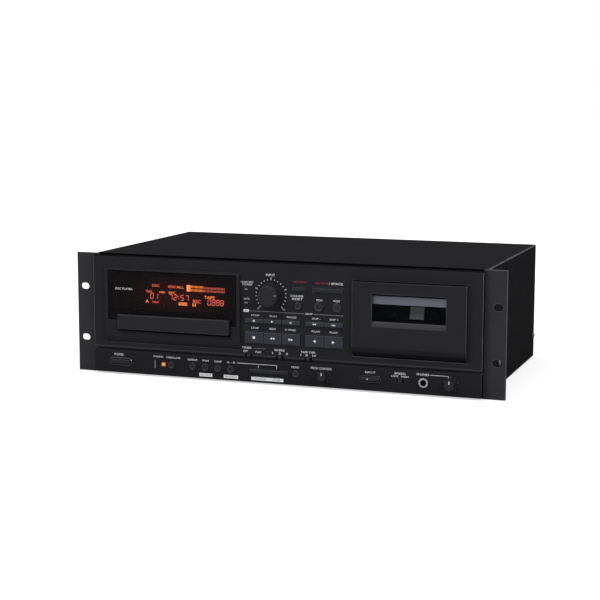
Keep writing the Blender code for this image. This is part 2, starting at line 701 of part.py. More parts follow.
def chassis_pan():
    """Folded bottom with side walls and the front upright that carries the drives."""
    pan = box("chassis_pan", (-PAN_OUTER, GAP, 0), (PAN_OUTER, PAN_REAR, PAN_WALL_HEIGHT),
              "plated_steel")
    inside = box("pan_inside", (-PAN_INNER, -OVERRUN, PAN_SHEET),
                 (PAN_INNER, PAN_REAR + OVERRUN, PAN_WALL_HEIGHT + OVERRUN))
    front = box("pan_front", (-PAN_OUTER - OVERRUN, -OVERRUN, PAN_SHEET),
                (PAN_OUTER + OVERRUN, FASCIA_BACK + RUN, PAN_WALL_HEIGHT + OVERRUN))
    cut(pan, inside, front)
    near, far = UPRIGHT_BACK, UPRIGHT_BACK + PAN_SHEET
    half = PAN_OUTER - PAN_SHEET / 2
    fuse(pan, prism("pan_upright",
                    [(near, PAN_SHEET / 2), (far, PAN_SHEET / 2), (far, PAN_TOP - PAN_SHEET),
                     (near + TOP_FLANGE, PAN_TOP - PAN_SHEET), (near + TOP_FLANGE, PAN_TOP),
                     (near, PAN_TOP)], -half, half, "X"))
    cut(pan, boxes("upright_windows", [
        ((TRAY_X - RAIL_OUTER - SLIDE, near - OVERRUN, LOADER_BOTTOM - SLIDE),
         (TRAY_X + RAIL_OUTER + SLIDE, far + OVERRUN, RAIL_TOP + BRIDGE_THICKNESS + SLIDE)),
        ((DOOR_X - TRANSPORT_HALF - SLIDE, near - OVERRUN, TRANSPORT_BOTTOM - SLIDE),
         (DOOR_X + TRANSPORT_HALF + SLIDE, far + OVERRUN, TRANSPORT_TOP + SLIDE))]))


def rear_panel():
    """Rear sheet with holes for the connectors."""
    panel = box("rear_panel", (-COVER_INNER + GAP, CASE_DEPTH - REAR_SHEET, 0),
                (COVER_INNER - GAP, CASE_DEPTH, PAN_TOP), "case_paint")
    near = CASE_DEPTH - REAR_SHEET - OVERRUN
    span = REAR_SHEET + 2 * OVERRUN
    holes = rods("phono_holes", [(x, near, z) for x, z in phono_places()], span,
                 PHONO_RADIUS + GAP, "Y")
    x, z = inlet_place()
    half_width = INLET_BODY_WIDTH / 2 + GAP
    half_height = INLET_BODY_HEIGHT / 2 + GAP
    window = box("inlet_hole", (x - half_width, near, z - half_height),
                 (x + half_width, near + span, z + half_height))
    cut(panel, holes, window)


def top_cover():
    """Folded cover: an open box of sheet, its top and two sides, with rounded folds."""
    outer = COVER_WIDTH / 2
    work = bmesh.new()
    box_into(work, (-outer, COVER_FRONT, PAN_SHEET), (outer, CASE_DEPTH, COVER_TOP))
    work.faces.ensure_lookup_table()
    bmesh.ops.recalc_face_normals(work, faces=work.faces)
    open_sides = [face for face in work.faces if abs(face.normal.y) > abs(face.normal.x)
                  and abs(face.normal.y) > abs(face.normal.z)]
    open_sides += [face for face in work.faces if face.normal.z < -abs(face.normal.x)
                   and face not in open_sides]
    bmesh.ops.delete(work, geom=open_sides, context="FACES")
    mesh = bpy.data.meshes.new("top_cover")
    work.to_mesh(mesh)
    work.free()
    cover = add_object("top_cover", mesh, "case_paint")
    folds = cover.modifiers.new("folds", "BEVEL")
    folds.width = FOLD_RADIUS
    folds.segments = CORNER_STEPS + 1
    folds.limit_method = "ANGLE"
    sheet = cover.modifiers.new("sheet", "SOLIDIFY")
    sheet.thickness = COVER_SHEET
    sheet.offset = -1
    sheet.use_even_offset = True


def rack_ear(name, side):
    """Angle bracket: the slotted flange in front and a leg along the pan."""
    inner, outer = sorted((side * EAR_LEG_INNER, side * HALF_RACK))
    ear = box(name, (inner, 0, 0), (outer, EAR_THICKNESS, RACK_HEIGHT), "ear_paint")
    low, high = sorted((side * EAR_LEG_INNER, side * EAR_LEG_OUTER))
    leg = box(name + "_leg", (low, 0, PAN_SHEET), (high, EAR_LEG_LENGTH, COVER_UNDER - GAP))
    fuse(ear, leg)
    span = EAR_THICKNESS + 2 * OVERRUN
    half = SLOT_WIDTH / 2 - SLOT_HEIGHT / 2
    for level in (-1, 1):
        x = side * SLOT_SPACING / 2
        z = RACK_HEIGHT / 2 + level * SLOT_PITCH / 2
        outline = arc(x + half, z, SLOT_HEIGHT / 2, -90, 90) + arc(x - half, z, SLOT_HEIGHT / 2,
                                                                  90, 270)
        cut(ear, prism(f"{name}_slot_{level}", outline, -OVERRUN, span - OVERRUN, "Y"))


def fascia_outline():
    """Section of the moulded front, from the top back edge round the front to the bottom."""
    outline = [(FASCIA_BACK, FASCIA_TOP)]
    outline += arc(-FACE_PROUD + EDGE_RADIUS, FASCIA_TOP - EDGE_RADIUS, EDGE_RADIUS, 90, 180, 4)
    outline += arc(-FACE_PROUD + LIP_RADIUS, LIP_CENTRE_Z, LIP_RADIUS, 180, 270, 4)
    outline += [(-FACE_PROUD + LIP_RADIUS, STRIP_TOP)]
    outline += arc(-STRIP_PROUD + STRIP_EDGE, STRIP_TOP - STRIP_EDGE, STRIP_EDGE, 90, 180, 3)
    outline += arc(-STRIP_PROUD + STRIP_EDGE, FASCIA_BOTTOM + STRIP_EDGE, STRIP_EDGE, 180, 270, 3)
    outline += [(FASCIA_BACK, FASCIA_BOTTOM)]
    return outline


def fascia_cavity_outline():
    """Section of the hollow behind the front, one wall inside the outer section."""
    step = -FACE_PROUD + LIP_RADIUS + FASCIA_WALL
    top = FASCIA_TOP - REBATE - FASCIA_WALL
    return [(FASCIA_BACK + OVERRUN, top), (FACE_INNER, top), (FACE_INNER, LIP_CENTRE_Z),
            (step, LIP_CENTRE_Z), (step, STRIP_TOP - FASCIA_WALL),
            (STRIP_INNER, STRIP_TOP - FASCIA_WALL), (STRIP_INNER, FASCIA_BOTTOM + FASCIA_WALL),
            (FASCIA_BACK + OVERRUN, FASCIA_BOTTOM + FASCIA_WALL)]


def key_apertures():
    """Openings for the two rows of keys, one for each group."""
    columns = key_columns()
    half = KEY_WIDTH / 2 + RUN
    corners = []
    for _, _, z, height in KEY_ROWS:
        low, high = z - height / 2 - RUN, z + height / 2 + RUN
        for first, last in ((0, 2), (3, 4)):
            corners.append(((columns[first] - half, -FACE_PROUD - OVERRUN, low),
                            (columns[last] + half, FACE_INNER + OVERRUN, high)))
    return corners


def bar_apertures():
    """Openings for the bar shaped buttons, the lamp and the slide switches."""
    corners = []
    for _, (x, z), width, height, proud in BAR_BUTTONS:
        half_width, half_height = width / 2 + RUN, height / 2 + RUN
        corners.append(((x - half_width, -proud - OVERRUN, z - half_height),
                        (x + half_width, -proud + FASCIA_WALL + OVERRUN, z + half_height)))
    x, z = strip_place(LAMP_SHARE)
    half_width, half_height = LAMP_WIDTH / 2 + GAP, LAMP_HEIGHT / 2 + GAP
    corners.append(((x - half_width, -STRIP_PROUD - OVERRUN, z - half_height),
                    (x + half_width, STRIP_INNER + OVERRUN, z + half_height)))
    for x, z, proud, _ in switch_places():
        half_width = SWITCH_WIDTH / 2 + SWITCH_TRAVEL + RUN
        half_height = SWITCH_HEIGHT / 2 + RUN
        corners.append(((x - half_width, -proud - OVERRUN, z - half_height),
                        (x + half_width, FASCIA_BACK + OVERRUN, z + half_height)))
    return corners


def switch_places():
    """Centre, front plane and inner plane of each slide switch."""
    inner = -FACE_PROUD + LIP_RADIUS + FASCIA_WALL
    groove_z = LIP_CENTRE_Z - LIP_RADIUS / 2 + SWITCH_HEIGHT / 4
    places = []
    for share in GROOVE_SWITCH_SHARES:
        places.append((SECTION_X + share * SECTION_WIDTH, groove_z, FACE_PROUD, inner))
    x, z = strip_place(STRIP_SWITCH_SHARE)
    places.append((x, z, STRIP_PROUD, STRIP_INNER))
    return places


def front_fascia():
    """Moulded front: a thin walled shell with a rounded lip over the lower strip."""
    fascia = prism("front_fascia", fascia_outline(), -HALF_FASCIA, HALF_FASCIA, "X",
                   "fascia_plastic")
    rebate_x = PAN_OUTER - GAP
    cavity = prism("fascia_cavity", fascia_cavity_outline(), -rebate_x + FASCIA_WALL,
                   rebate_x - FASCIA_WALL, "X")
    sides = boxes("fascia_side_rebates", [
        ((-HALF_FASCIA - OVERRUN, -GAP, -OVERRUN),
         (-rebate_x, FASCIA_BACK + OVERRUN, RACK_HEIGHT)),
        ((rebate_x, -GAP, -OVERRUN),
         (HALF_FASCIA + OVERRUN, FASCIA_BACK + OVERRUN, RACK_HEIGHT))])
    top = box("fascia_top_rebate", (-HALF_FASCIA, -GAP, FASCIA_TOP - REBATE),
              (HALF_FASCIA, FASCIA_BACK + OVERRUN, RACK_HEIGHT))
    cut(fascia, cavity, sides, top)
    fuse(fascia, *board_bosses())
    depth = (-STRIP_PROUD - OVERRUN, FASCIA_BACK + OVERRUN)
    surround = box("surround_opening",
                   (BEZEL_LEFT - GAP, depth[0], BEZEL_BOTTOM - GAP),
                   (BEZEL_RIGHT + GAP, depth[1], BEZEL_TOP + GAP))
    door = box("door_opening",
               (DOOR_LEFT - RUN, depth[0], DOOR_HINGE_Z),
               (DOOR_RIGHT + RUN, depth[1], DOOR_TOP + RUN))
    sweep = rod("door_sweep", (DOOR_LEFT - RUN, DOOR_HINGE_Y, DOOR_HINGE_Z),
                DOOR_WIDTH + 2 * RUN, DOOR_CURVE + RUN, "X", sides=DISC_SIDES)
    flat = boxes("bar_apertures", key_apertures() + bar_apertures())
    cut(fascia, surround, door, sweep, flat, round_apertures())


def board_bosses():
    """Posts from the front wall to the circuit board behind it."""
    length = FASCIA_BACK - FACE_INNER + FUSE
    low_z = STRIP_TOP + FACE_HEIGHT * (SMALL_KEY_ROW_SHARE + LARGE_KEY_ROW_SHARE) / 2
    high_z = STRIP_TOP + FACE_HEIGHT * (RECORD_SHARES[1] + 1) / 2
    inset = 2.3 * BOSS_RADIUS
    made = []
    for i, (x, z) in enumerate(((SECTION_X - SECTION_WIDTH / 2 + inset, high_z),
                                (SECTION_X + SECTION_WIDTH / 2 - inset, high_z),
                                (SECTION_X + SECTION_WIDTH / 2 - inset, low_z))):
        made.append(rod(f"board_boss_{i}", (x, FACE_INNER - FUSE, z), length, BOSS_RADIUS, "Y",
                        sides=BUTTON_SIDES))
    return made


def round_apertures():
    """Bores for the round buttons, the knob shafts and the jack."""
    work = bmesh.new()
    for _, (x, z), size, proud in ROUND_BUTTONS:
        rod_into(work, (x, -proud - OVERRUN, z), FASCIA_WALL + 2 * OVERRUN, size / 2 + GAP, "Y",
                 BUTTON_SIDES)
    for _, (x, z), _, _, proud, _ in KNOBS:
        rod_into(work, (x, -proud - OVERRUN, z), FASCIA_WALL + 2 * OVERRUN,
                 KNOB_SHAFT_RADIUS + GAP, "Y", BUTTON_SIDES)
    x, z = strip_place(JACK_SHARE)
    rod_into(work, (x, -STRIP_PROUD - OVERRUN, z), FASCIA_WALL + 2 * OVERRUN,
             JACK_NUT_DIAMETER / 2 - JACK_PROUD / 2 + GAP, "Y")
    return add_object("round_apertures", mesh_from("round_apertures", work))


def curved_front(front, top, foot, curve, edge, lip, wall=0):
    """Front edge of a panel whose lower part rolls back, from the top to the lip.

    front, top and foot are the panel's front plane, top and lowest visible edge.
    """
    centre_y = -front + curve
    meets = math.acos((FACE_PROUD + centre_y) / curve)
    centre_z = foot + curve * math.sin(meets)
    points = [(-front + wall + edge, top - wall)]
    if edge:
        points = arc(-front + wall + edge, top - wall - edge, edge, 90, 180, 3)
    else:
        points = [(-front + wall, top - wall)]
    end = 180 + math.degrees(lip)
    points += arc(centre_y, centre_z, curve - wall, 180, end, ARC_STEPS)
    return points


def display_bezel():
    """Surround of the window and the tray, its lower part rolled back."""
    centre_y = -BEZEL_PROUD + BEZEL_CURVE
    lip = math.acos((FACE_PROUD + centre_y) / BEZEL_CURVE)
    front = curved_front(BEZEL_PROUD, BEZEL_TOP, BEZEL_BOTTOM, BEZEL_CURVE, STRIP_EDGE, lip)
    outline = [(BEZEL_BACK, BEZEL_TOP), *front, (BEZEL_BACK, BEZEL_BOTTOM)]
    bezel = prism("display_bezel", outline, BEZEL_LEFT, BEZEL_RIGHT, "X", "bezel_plastic")
    over = -BEZEL_PROUD - OVERRUN
    back = BEZEL_BACK + OVERRUN
    seat = -BEZEL_PROUD + WINDOW_SUNK + WINDOW_THICKNESS + GAP
    recess = box("window_recess", (BEZEL_X - WINDOW_HALF, over, WINDOW_BOTTOM),
                 (BEZEL_X + WINDOW_HALF, seat, WINDOW_TOP))
    mouth_half = TRAY_FRONT_WIDTH / 2 + RUN
    mouth_low = TRAY_FRONT_Z - TRAY_FRONT_HEIGHT / 2 - RUN
    mouth_high = TRAY_FRONT_Z + TRAY_FRONT_HEIGHT / 2 + RUN
    mouth = box("tray_mouth", (TRAY_X - mouth_half, over, mouth_low),
                (TRAY_X + mouth_half, back, mouth_high))
    opening = box("glass_opening",
                  (BEZEL_X - WINDOW_HALF + WINDOW_LEDGE, over, OPENING_BOTTOM),
                  (BEZEL_X + WINDOW_HALF - WINDOW_LEDGE, back, OPENING_TOP))
    pocket = box("bezel_pocket",
                 (BEZEL_LEFT + BEZEL_WALL, FACE_INNER, BEZEL_BOTTOM + BEZEL_WALL),
                 (BEZEL_RIGHT - BEZEL_WALL, back, mouth_low - BEZEL_WALL))
    cut(bezel, recess, opening, mouth, pocket)


def display_window():
    """Smoked window with the notch that clears the tray front."""
    half = WINDOW_HALF - GAP
    low, high = WINDOW_BOTTOM + GAP, WINDOW_TOP - GAP
    notch_half = TRAY_FRONT_WIDTH / 2 + RUN
    notch_top = TRAY_FRONT_Z + TRAY_FRONT_HEIGHT / 2 + RUN
    outline = [(BEZEL_X - half, low), (TRAY_X - notch_half, low), (TRAY_X - notch_half, notch_top),
               (TRAY_X + notch_half, notch_top), (TRAY_X + notch_half, low),
               (BEZEL_X + half, low), (BEZEL_X + half, high), (BEZEL_X - half, high)]
    front = -BEZEL_PROUD + WINDOW_SUNK
    prism("display_window", outline, front, front + WINDOW_THICKNESS, "Y", "smoked_window")


def front_board():
    """Circuit board behind the front, with the display glass on it."""
    window_low = OPENING_BOTTOM - RUN
    right = DOOR_X - TRANSPORT_HALF - SLIDE
    low = STRIP_TOP + GROOVE
    top = WINDOW_TOP
    inner = BEZEL_RIGHT + WINDOW_LEDGE
    outline = [(BEZEL_LEFT + WINDOW_RIM, window_low), (inner, window_low), (inner, low),
               (right, low), (right, FASCIA_TOP - REBATE - FASCIA_WALL - GAP),
               (inner, FASCIA_TOP - REBATE - FASCIA_WALL - GAP), (inner, top),
               (BEZEL_LEFT + WINDOW_RIM, top)]
    board = prism("front_board", outline, BOARD_FRONT, BOARD_BACK, "Y", "board_green")
    half = WINDOW_HALF - WINDOW_LEDGE - GLASS_MARGIN
    front = -BEZEL_PROUD + WINDOW_SUNK + WINDOW_THICKNESS + 2 * GAP
    glass = box("display_glass",
                (BEZEL_X - half, front, OPENING_BOTTOM + GLASS_MARGIN),
                (BEZEL_X + half, BOARD_FRONT + FUSE, OPENING_TOP - GLASS_MARGIN))
    shaft_x, shaft_z = section_place(INPUT_KNOB_SHARES)
    hole = rod("shaft_hole", (shaft_x, BOARD_FRONT - OVERRUN, shaft_z), BOARD + 2 * OVERRUN,
               KNOB_SHAFT_RADIUS + SLIDE, "Y", sides=BUTTON_SIDES)
    fuse(board, glass)
    cut(board, hole)


def status_lamp():
    """Square lamp lens on the lower strip."""
    x, z = strip_place(LAMP_SHARE)
    box("status_lamp",
        (x - LAMP_WIDTH / 2, -STRIP_PROUD - GAP, z - LAMP_HEIGHT / 2),
        (x + LAMP_WIDTH / 2, STRIP_INNER + KEY_BODY_BACK, z + LAMP_HEIGHT / 2),
        "lamp", edge=KEY_CHAMFER / 2, segments=1)


def headphone_jack():
    """Jack body behind the strip with a plated nut and a bore."""
    x, z = strip_place(JACK_SHARE)
    half = JACK_BODY / 2
    start = STRIP_INNER + GAP
    jack = box("headphone_jack", (x - half, start, z - half),
               (x + half, start + JACK_LENGTH, z + half), "chrome")
    neck_radius = JACK_NUT_DIAMETER / 2 - JACK_PROUD / 2
    neck = rod("jack_neck", (x, -STRIP_PROUD - GAP - FUSE, z), FASCIA_WALL + 2 * GAP + 2 * FUSE,
               neck_radius, "Y")
    nut = rod("jack_nut", (x, -STRIP_PROUD - GAP - JACK_PROUD, z), JACK_PROUD,
              JACK_NUT_DIAMETER / 2, "Y")
    bore = rod("jack_bore", (x, -STRIP_PROUD - JACK_PROUD - OVERRUN, z),
               JACK_LENGTH, JACK_BORE / 2, "Y")
    fuse(jack, neck, nut)
    cut(jack, bore)


def tray_front():
    """Moulded front of the tray."""
    half_width, half_height = TRAY_FRONT_WIDTH / 2, TRAY_FRONT_HEIGHT / 2
    inset = KEY_CHAMFER
    centre = (TRAY_X, TRAY_FRONT_Z)
    front = -TRAY_FRONT_PROUD
    loft("tray_front", [
        rounded_ring(half_width - inset, half_height - inset, EDGE_RADIUS / 2, front, centre),
        rounded_ring(half_width, half_height, EDGE_RADIUS / 2, front + inset, centre),
        rounded_ring(half_width, half_height, EDGE_RADIUS / 2, TRAY_FRONT_BACK, centre)],
        "fascia_plastic")


def cd_tray():
    """Drawer with the two disc wells, the slot for the turntable, runners and the rack."""
    half = TRAY_WIDTH / 2
    tray = box("cd_tray", (TRAY_X - half, TRAY_START, TRAY_UNDER),
               (TRAY_X + half, TRAY_END, TRAY_TOP), "inner_plastic")
    runner_z = (TRAY_UNDER + TRAY_TOP) / 2
    runner = box("tray_runners",
                 (TRAY_X - half - TRAY_RUNNER, LOADER_FRONT + RAIL_THICKNESS,
                  runner_z - TRAY_RUNNER_HEIGHT / 2),
                 (TRAY_X + half + TRAY_RUNNER, TRAY_END, runner_z + TRAY_RUNNER_HEIGHT / 2))
    fuse(tray, runner)
    well = rod("disc_well", (TRAY_X, DISC_Y, TRAY_TOP - DISC_WELL), DISC_WELL + OVERRUN,
               DISC_DIAMETER / 2 + DISC_FIT, "Z", sides=DISC_SIDES)
    small = rod("small_disc_well", (TRAY_X, DISC_Y, TRAY_TOP - DISC_WELL - SMALL_WELL),
                SMALL_WELL + OVERRUN, SMALL_DISC_DIAMETER / 2 + DISC_FIT, "Z", sides=DISC_SIDES)
    slot_half = TRAY_SLOT_WIDTH / 2
    slot = prism("turntable_slot",
                 arc(TRAY_X, DISC_Y, slot_half, 180, 360, 2 * ARC_STEPS)
                 + [(TRAY_X + slot_half, TRAY_END + OVERRUN),
                    (TRAY_X - slot_half, TRAY_END + OVERRUN)],
                 TRAY_UNDER - OVERRUN, TRAY_TOP + OVERRUN, "Z")
    cut(tray, well, small, slot)
    fuse(tray, tray_rack())


def rack_outline():
    """Rack along the tray, teeth towards the pinion, one flank formula for all teeth."""
    addendum = GEAR_MODULE * 0.9
    dedendum = GEAR_MODULE * 1.15
    half_tooth = GEAR_PITCH / 4 - GEAR_BACKLASH / 2
    lean_up = addendum * math.tan(PRESSURE_ANGLE)
    lean_down = dedendum * math.tan(PRESSURE_ANGLE)
    start = PINION_Y - GEAR_PITCH
    points = []
    for i in range(RACK_TEETH):
        middle = start + i * GEAR_PITCH
        points += [(RACK_X - dedendum, middle - half_tooth - lean_down),
                   (RACK_X + addendum, middle - half_tooth + lean_up),
                   (RACK_X + addendum, middle + half_tooth - lean_up),
                   (RACK_X - dedendum, middle + half_tooth + lean_down)]
    back = RACK_X - dedendum - GEAR_MODULE
    return [(back, points[0][1] - GEAR_MODULE), (points[0][0], points[0][1] - GEAR_MODULE), *points,
            (points[-1][0], points[-1][1] + GEAR_MODULE), (back, points[-1][1] + GEAR_MODULE)]


def tray_rack():
    """Rack moulded under the tray's left edge."""
    return prism("tray_rack", rack_outline(), GEAR_BOTTOM, TRAY_UNDER + FUSE, "Z")


def pinion_outline():
    """Spur gear with involute flanks, a gap between two teeth turned to the rack."""
    base = PINION_RADIUS * math.cos(PRESSURE_ANGLE)
    outer = PINION_RADIUS + GEAR_MODULE * 0.9
    root = PINION_RADIUS - GEAR_MODULE * 1.15
    half_tooth = (GEAR_PITCH / 4 - GEAR_BACKLASH / 2) / PINION_RADIUS
    involute = math.tan(PRESSURE_ANGLE) - PRESSURE_ANGLE
    flank = []
    for i in range(3):
        radius = base + (outer - base) * i / 2
        angle = math.acos(base / radius)
        flank.append((radius, half_tooth + involute - (math.tan(angle) - angle)))
    points = []
    for tooth in range(PINION_TEETH):
        middle = math.pi + (tooth + 0.5) * 2 * math.pi / PINION_TEETH
        sides = [(root, -flank[0][1])] + [(radius, -angle) for radius, angle in flank]
        sides += [(radius, angle) for radius, angle in reversed(flank)] + [(root, flank[0][1])]
        for radius, angle in sides:
            points.append((PINION_X + radius * math.cos(middle + angle),
                           PINION_Y + radius * math.sin(middle + angle)))
    return points


def loader_pinion():
    """Drive gear under the tray, on a stub shaft in the loader's floor."""
    pinion = prism("loader_pinion", pinion_outline(), GEAR_BOTTOM, GEAR_TOP, "Z", "white_plastic")
    shaft = rod("pinion_shaft", (PINION_X, PINION_Y, LOADER_BOTTOM),
                GEAR_BOTTOM - LOADER_BOTTOM + FUSE, PINION_SHAFT_RADIUS, "Z", sides=BUTTON_SIDES)
    fuse(pinion, shaft)


def loader_frame():
    """Frame of the disc drive: floor, grooved rails, clamp bridge, sled with lens and legs."""
    low_x, high_x = TRAY_X - RAIL_OUTER, TRAY_X + RAIL_OUTER
    frame = box("loader_frame", (low_x, LOADER_FRONT, LOADER_BOTTOM),
                (high_x, LOADER_REAR, RAIL_TOP), "inner_plastic")
    over = OVERRUN
    channel = box("loader_channel", (TRAY_X - RAIL_INNER, LOADER_FRONT - over, LOADER_FLOOR_TOP),
                  (TRAY_X + RAIL_INNER, LOADER_REAR - RAIL_THICKNESS, RAIL_TOP + over))
    groove_half = TRAY_RUNNER_HEIGHT / 2 + SLIDE
    runner_z = (TRAY_UNDER + TRAY_TOP) / 2
    grooves = box("rail_grooves",
                  (TRAY_X - RAIL_INNER - TRAY_RUNNER, LOADER_FRONT + RAIL_THICKNESS - TRAY_TRAVEL,
                   runner_z - groove_half),
                  (TRAY_X + RAIL_INNER + TRAY_RUNNER, LOADER_REAR - RAIL_THICKNESS,
                   runner_z + groove_half))
    cut(frame, channel, grooves)
    bridge = box("clamp_bridge", (low_x, DISC_Y - BRIDGE_LENGTH / 2, RAIL_TOP - FUSE),
                 (high_x, DISC_Y + BRIDGE_LENGTH / 2, RAIL_TOP + BRIDGE_THICKNESS))
    clamp = rod("disc_clamp", (TRAY_X, DISC_Y, RAIL_TOP - BRIDGE_THICKNESS),
                2 * BRIDGE_THICKNESS, CLAMP_DIAMETER / 2, "Z")
    corners = [(x, y) for x in (low_x, high_x - LEG_SIZE)
               for y in (LOADER_FRONT + LEG_SIZE, LOADER_REAR - LEG_SIZE)]
    legs = boxes("loader_legs", [((x, y, PAN_SHEET + GAP),
                                  (x + LEG_SIZE, y + LEG_SIZE, LOADER_BOTTOM + FUSE))
                                 for x, y in corners])
    fuse(frame, bridge, clamp, legs)
    window = box("traverse_window",
                 (TRAY_X - TRAY_SLOT_WIDTH / 2, DISC_Y + TURNTABLE_DIAMETER / 2 + SLIDE,
                  LOADER_BOTTOM - over),
                 (TRAY_X + TRAY_SLOT_WIDTH / 2, DISC_Y + DISC_DIAMETER / 2,
                  LOADER_FLOOR_TOP + over))
    spindle = rod("spindle_bore", (TRAY_X, DISC_Y, LOADER_BOTTOM - over), LOADER_FLOOR + 2 * over,
                  SPINDLE_RADIUS + GAP, "Z", sides=BUTTON_SIDES)
    shaft = rod("pinion_bore", (PINION_X, PINION_Y, LOADER_BOTTOM - over), LOADER_FLOOR + 2 * over,
                PINION_SHAFT_RADIUS + GAP, "Z", sides=BUTTON_SIDES)
    cut(frame, window, spindle, shaft)
    sled_y = DISC_Y + TURNTABLE_DIAMETER / 2 + PICKUP_LENGTH / 2
    sled = box("laser_sled", (TRAY_X - TRAY_SLOT_WIDTH / 2 - FUSE, sled_y, LOADER_BOTTOM),
               (TRAY_X + TRAY_SLOT_WIDTH / 2 + FUSE, sled_y + PICKUP_LENGTH,
                LOADER_FLOOR_TOP + LOADER_FLOOR))
    lens = rod("laser_lens", (TRAY_X, sled_y + PICKUP_LENGTH / 2, LOADER_FLOOR_TOP),
               2 * LOADER_FLOOR, PICKUP_LENGTH / 4, "Z", sides=BUTTON_SIDES)
    fuse(frame, sled, lens)


def disc_turntable():
    """Turntable with its centring hub, on the spindle in the loader's floor."""
    bottom = LOADER_FLOOR_TOP + SLIDE
    top = bottom + TURNTABLE_HEIGHT
    hub_top = TRAY_UNDER - GAP
    profile = [(0, hub_top), (HUB_DIAMETER / 4, hub_top), (HUB_DIAMETER / 2, top + GAP),
               (HUB_DIAMETER / 2, top), (TURNTABLE_DIAMETER / 2, top),
               (TURNTABLE_DIAMETER / 2, bottom), (SPINDLE_RADIUS, bottom),
               (SPINDLE_RADIUS, LOADER_BOTTOM), (0, LOADER_BOTTOM)]
    table = turned("disc_turntable", [(r, z - bottom) for r, z in profile],
                   (TRAY_X, DISC_Y, bottom), "inner_plastic", DISC_SIDES // 2)
    table.rotation_euler = (0, 0, 0)


def door_centre():
    """Hinge axis of the door, as (y, z)."""
    return DOOR_HINGE_Y, DOOR_HINGE_Z


def cassette_door():
    """Door shell rolled round its own hinge axis, with a view opening and two hinge lugs."""
    lip = math.degrees(DOOR_LIP_ANGLE)
    hinge_y, hinge_z = door_centre()
    outer = curved_front(DOOR_PROUD, DOOR_TOP, STRIP_TOP + DOOR_FOOT, DOOR_CURVE, STRIP_EDGE,
                         DOOR_LIP_ANGLE)
    inner_radius = DOOR_CURVE - DOOR_WALL
    lip_inner = (hinge_y - inner_radius * math.cos(DOOR_LIP_ANGLE),
                 hinge_z - inner_radius * math.sin(DOOR_LIP_ANGLE))
    outline = [(-DOOR_BACK, DOOR_TOP), *outer, lip_inner, (-DOOR_BACK, hinge_z - LUG_RADIUS)]
    door = prism("cassette_door", outline, DOOR_LEFT, DOOR_RIGHT, "X", "bezel_plastic")
    inner = arc(hinge_y, hinge_z, inner_radius, 180, 180 + lip, ARC_STEPS)
    cavity = prism("door_cavity",
                   [(OVERRUN, DOOR_TOP - DOOR_WALL), (DOOR_INNER, DOOR_TOP - DOOR_WALL), *inner,
                    (OVERRUN, lip_inner[1])],
                   DOOR_LEFT + DOOR_WALL, DOOR_RIGHT - DOOR_WALL, "X")
    mouth = box("cassette_mouth",
                (DOOR_X - HOLDER_OUTER - GAP, HOLDER_FRONT - GAP, DOOR_TOP - DOOR_WALL - OVERRUN),
                (DOOR_X + HOLDER_OUTER + GAP, OVERRUN, DOOR_TOP + OVERRUN))
    view = prism("view_opening",
                 [(-DOOR_PROUD - OVERRUN, VIEW_TOP), (DOOR_INNER + OVERRUN, VIEW_TOP),
                  (DOOR_INNER + OVERRUN, VIEW_BOTTOM),
                  (-DOOR_PROUD + SILL_DEPTH, VIEW_BOTTOM), (-DOOR_PROUD, VIEW_BOTTOM - SILL_HEIGHT),
                  (-DOOR_PROUD - OVERRUN, VIEW_BOTTOM - SILL_HEIGHT)],
                 DOOR_X - VIEW_WIDTH / 2, DOOR_X + VIEW_WIDTH / 2, "X")
    cut(door, cavity, mouth, view)
    for side in (-1, 1):
        edge = DOOR_X + side * DOOR_WIDTH / 2
        low, high = sorted((edge, edge - side * DOOR_WALL))
        arm = box(f"door_arm_{side}", (low, -DOOR_BACK - DOOR_WALL, hinge_z - LUG_RADIUS),
                  (high, hinge_y, hinge_z + LUG_RADIUS))
        lug = rod(f"door_lug_{side}", (low, hinge_y, hinge_z), DOOR_WALL, LUG_RADIUS, "X")
        pin_low = min(edge - side * FUSE, edge + side * PIN_LENGTH)
        pin = rod(f"door_pin_{side}", (pin_low, hinge_y, hinge_z), PIN_LENGTH + FUSE, PIN_RADIUS,
                  "X", sides=BUTTON_SIDES)
        fuse(door, arm, lug, pin)


def door_window():
    """Clear pane behind the view opening."""
    half = VIEW_WIDTH / 2 + PANE_MARGIN
    box("door_window", (DOOR_X - half, PANE_FRONT, VIEW_BOTTOM - SILL_HEIGHT / 2 - PANE_MARGIN / 2),
        (DOOR_X + half, PANE_BACK, VIEW_TOP + PANE_MARGIN), "clear_window")


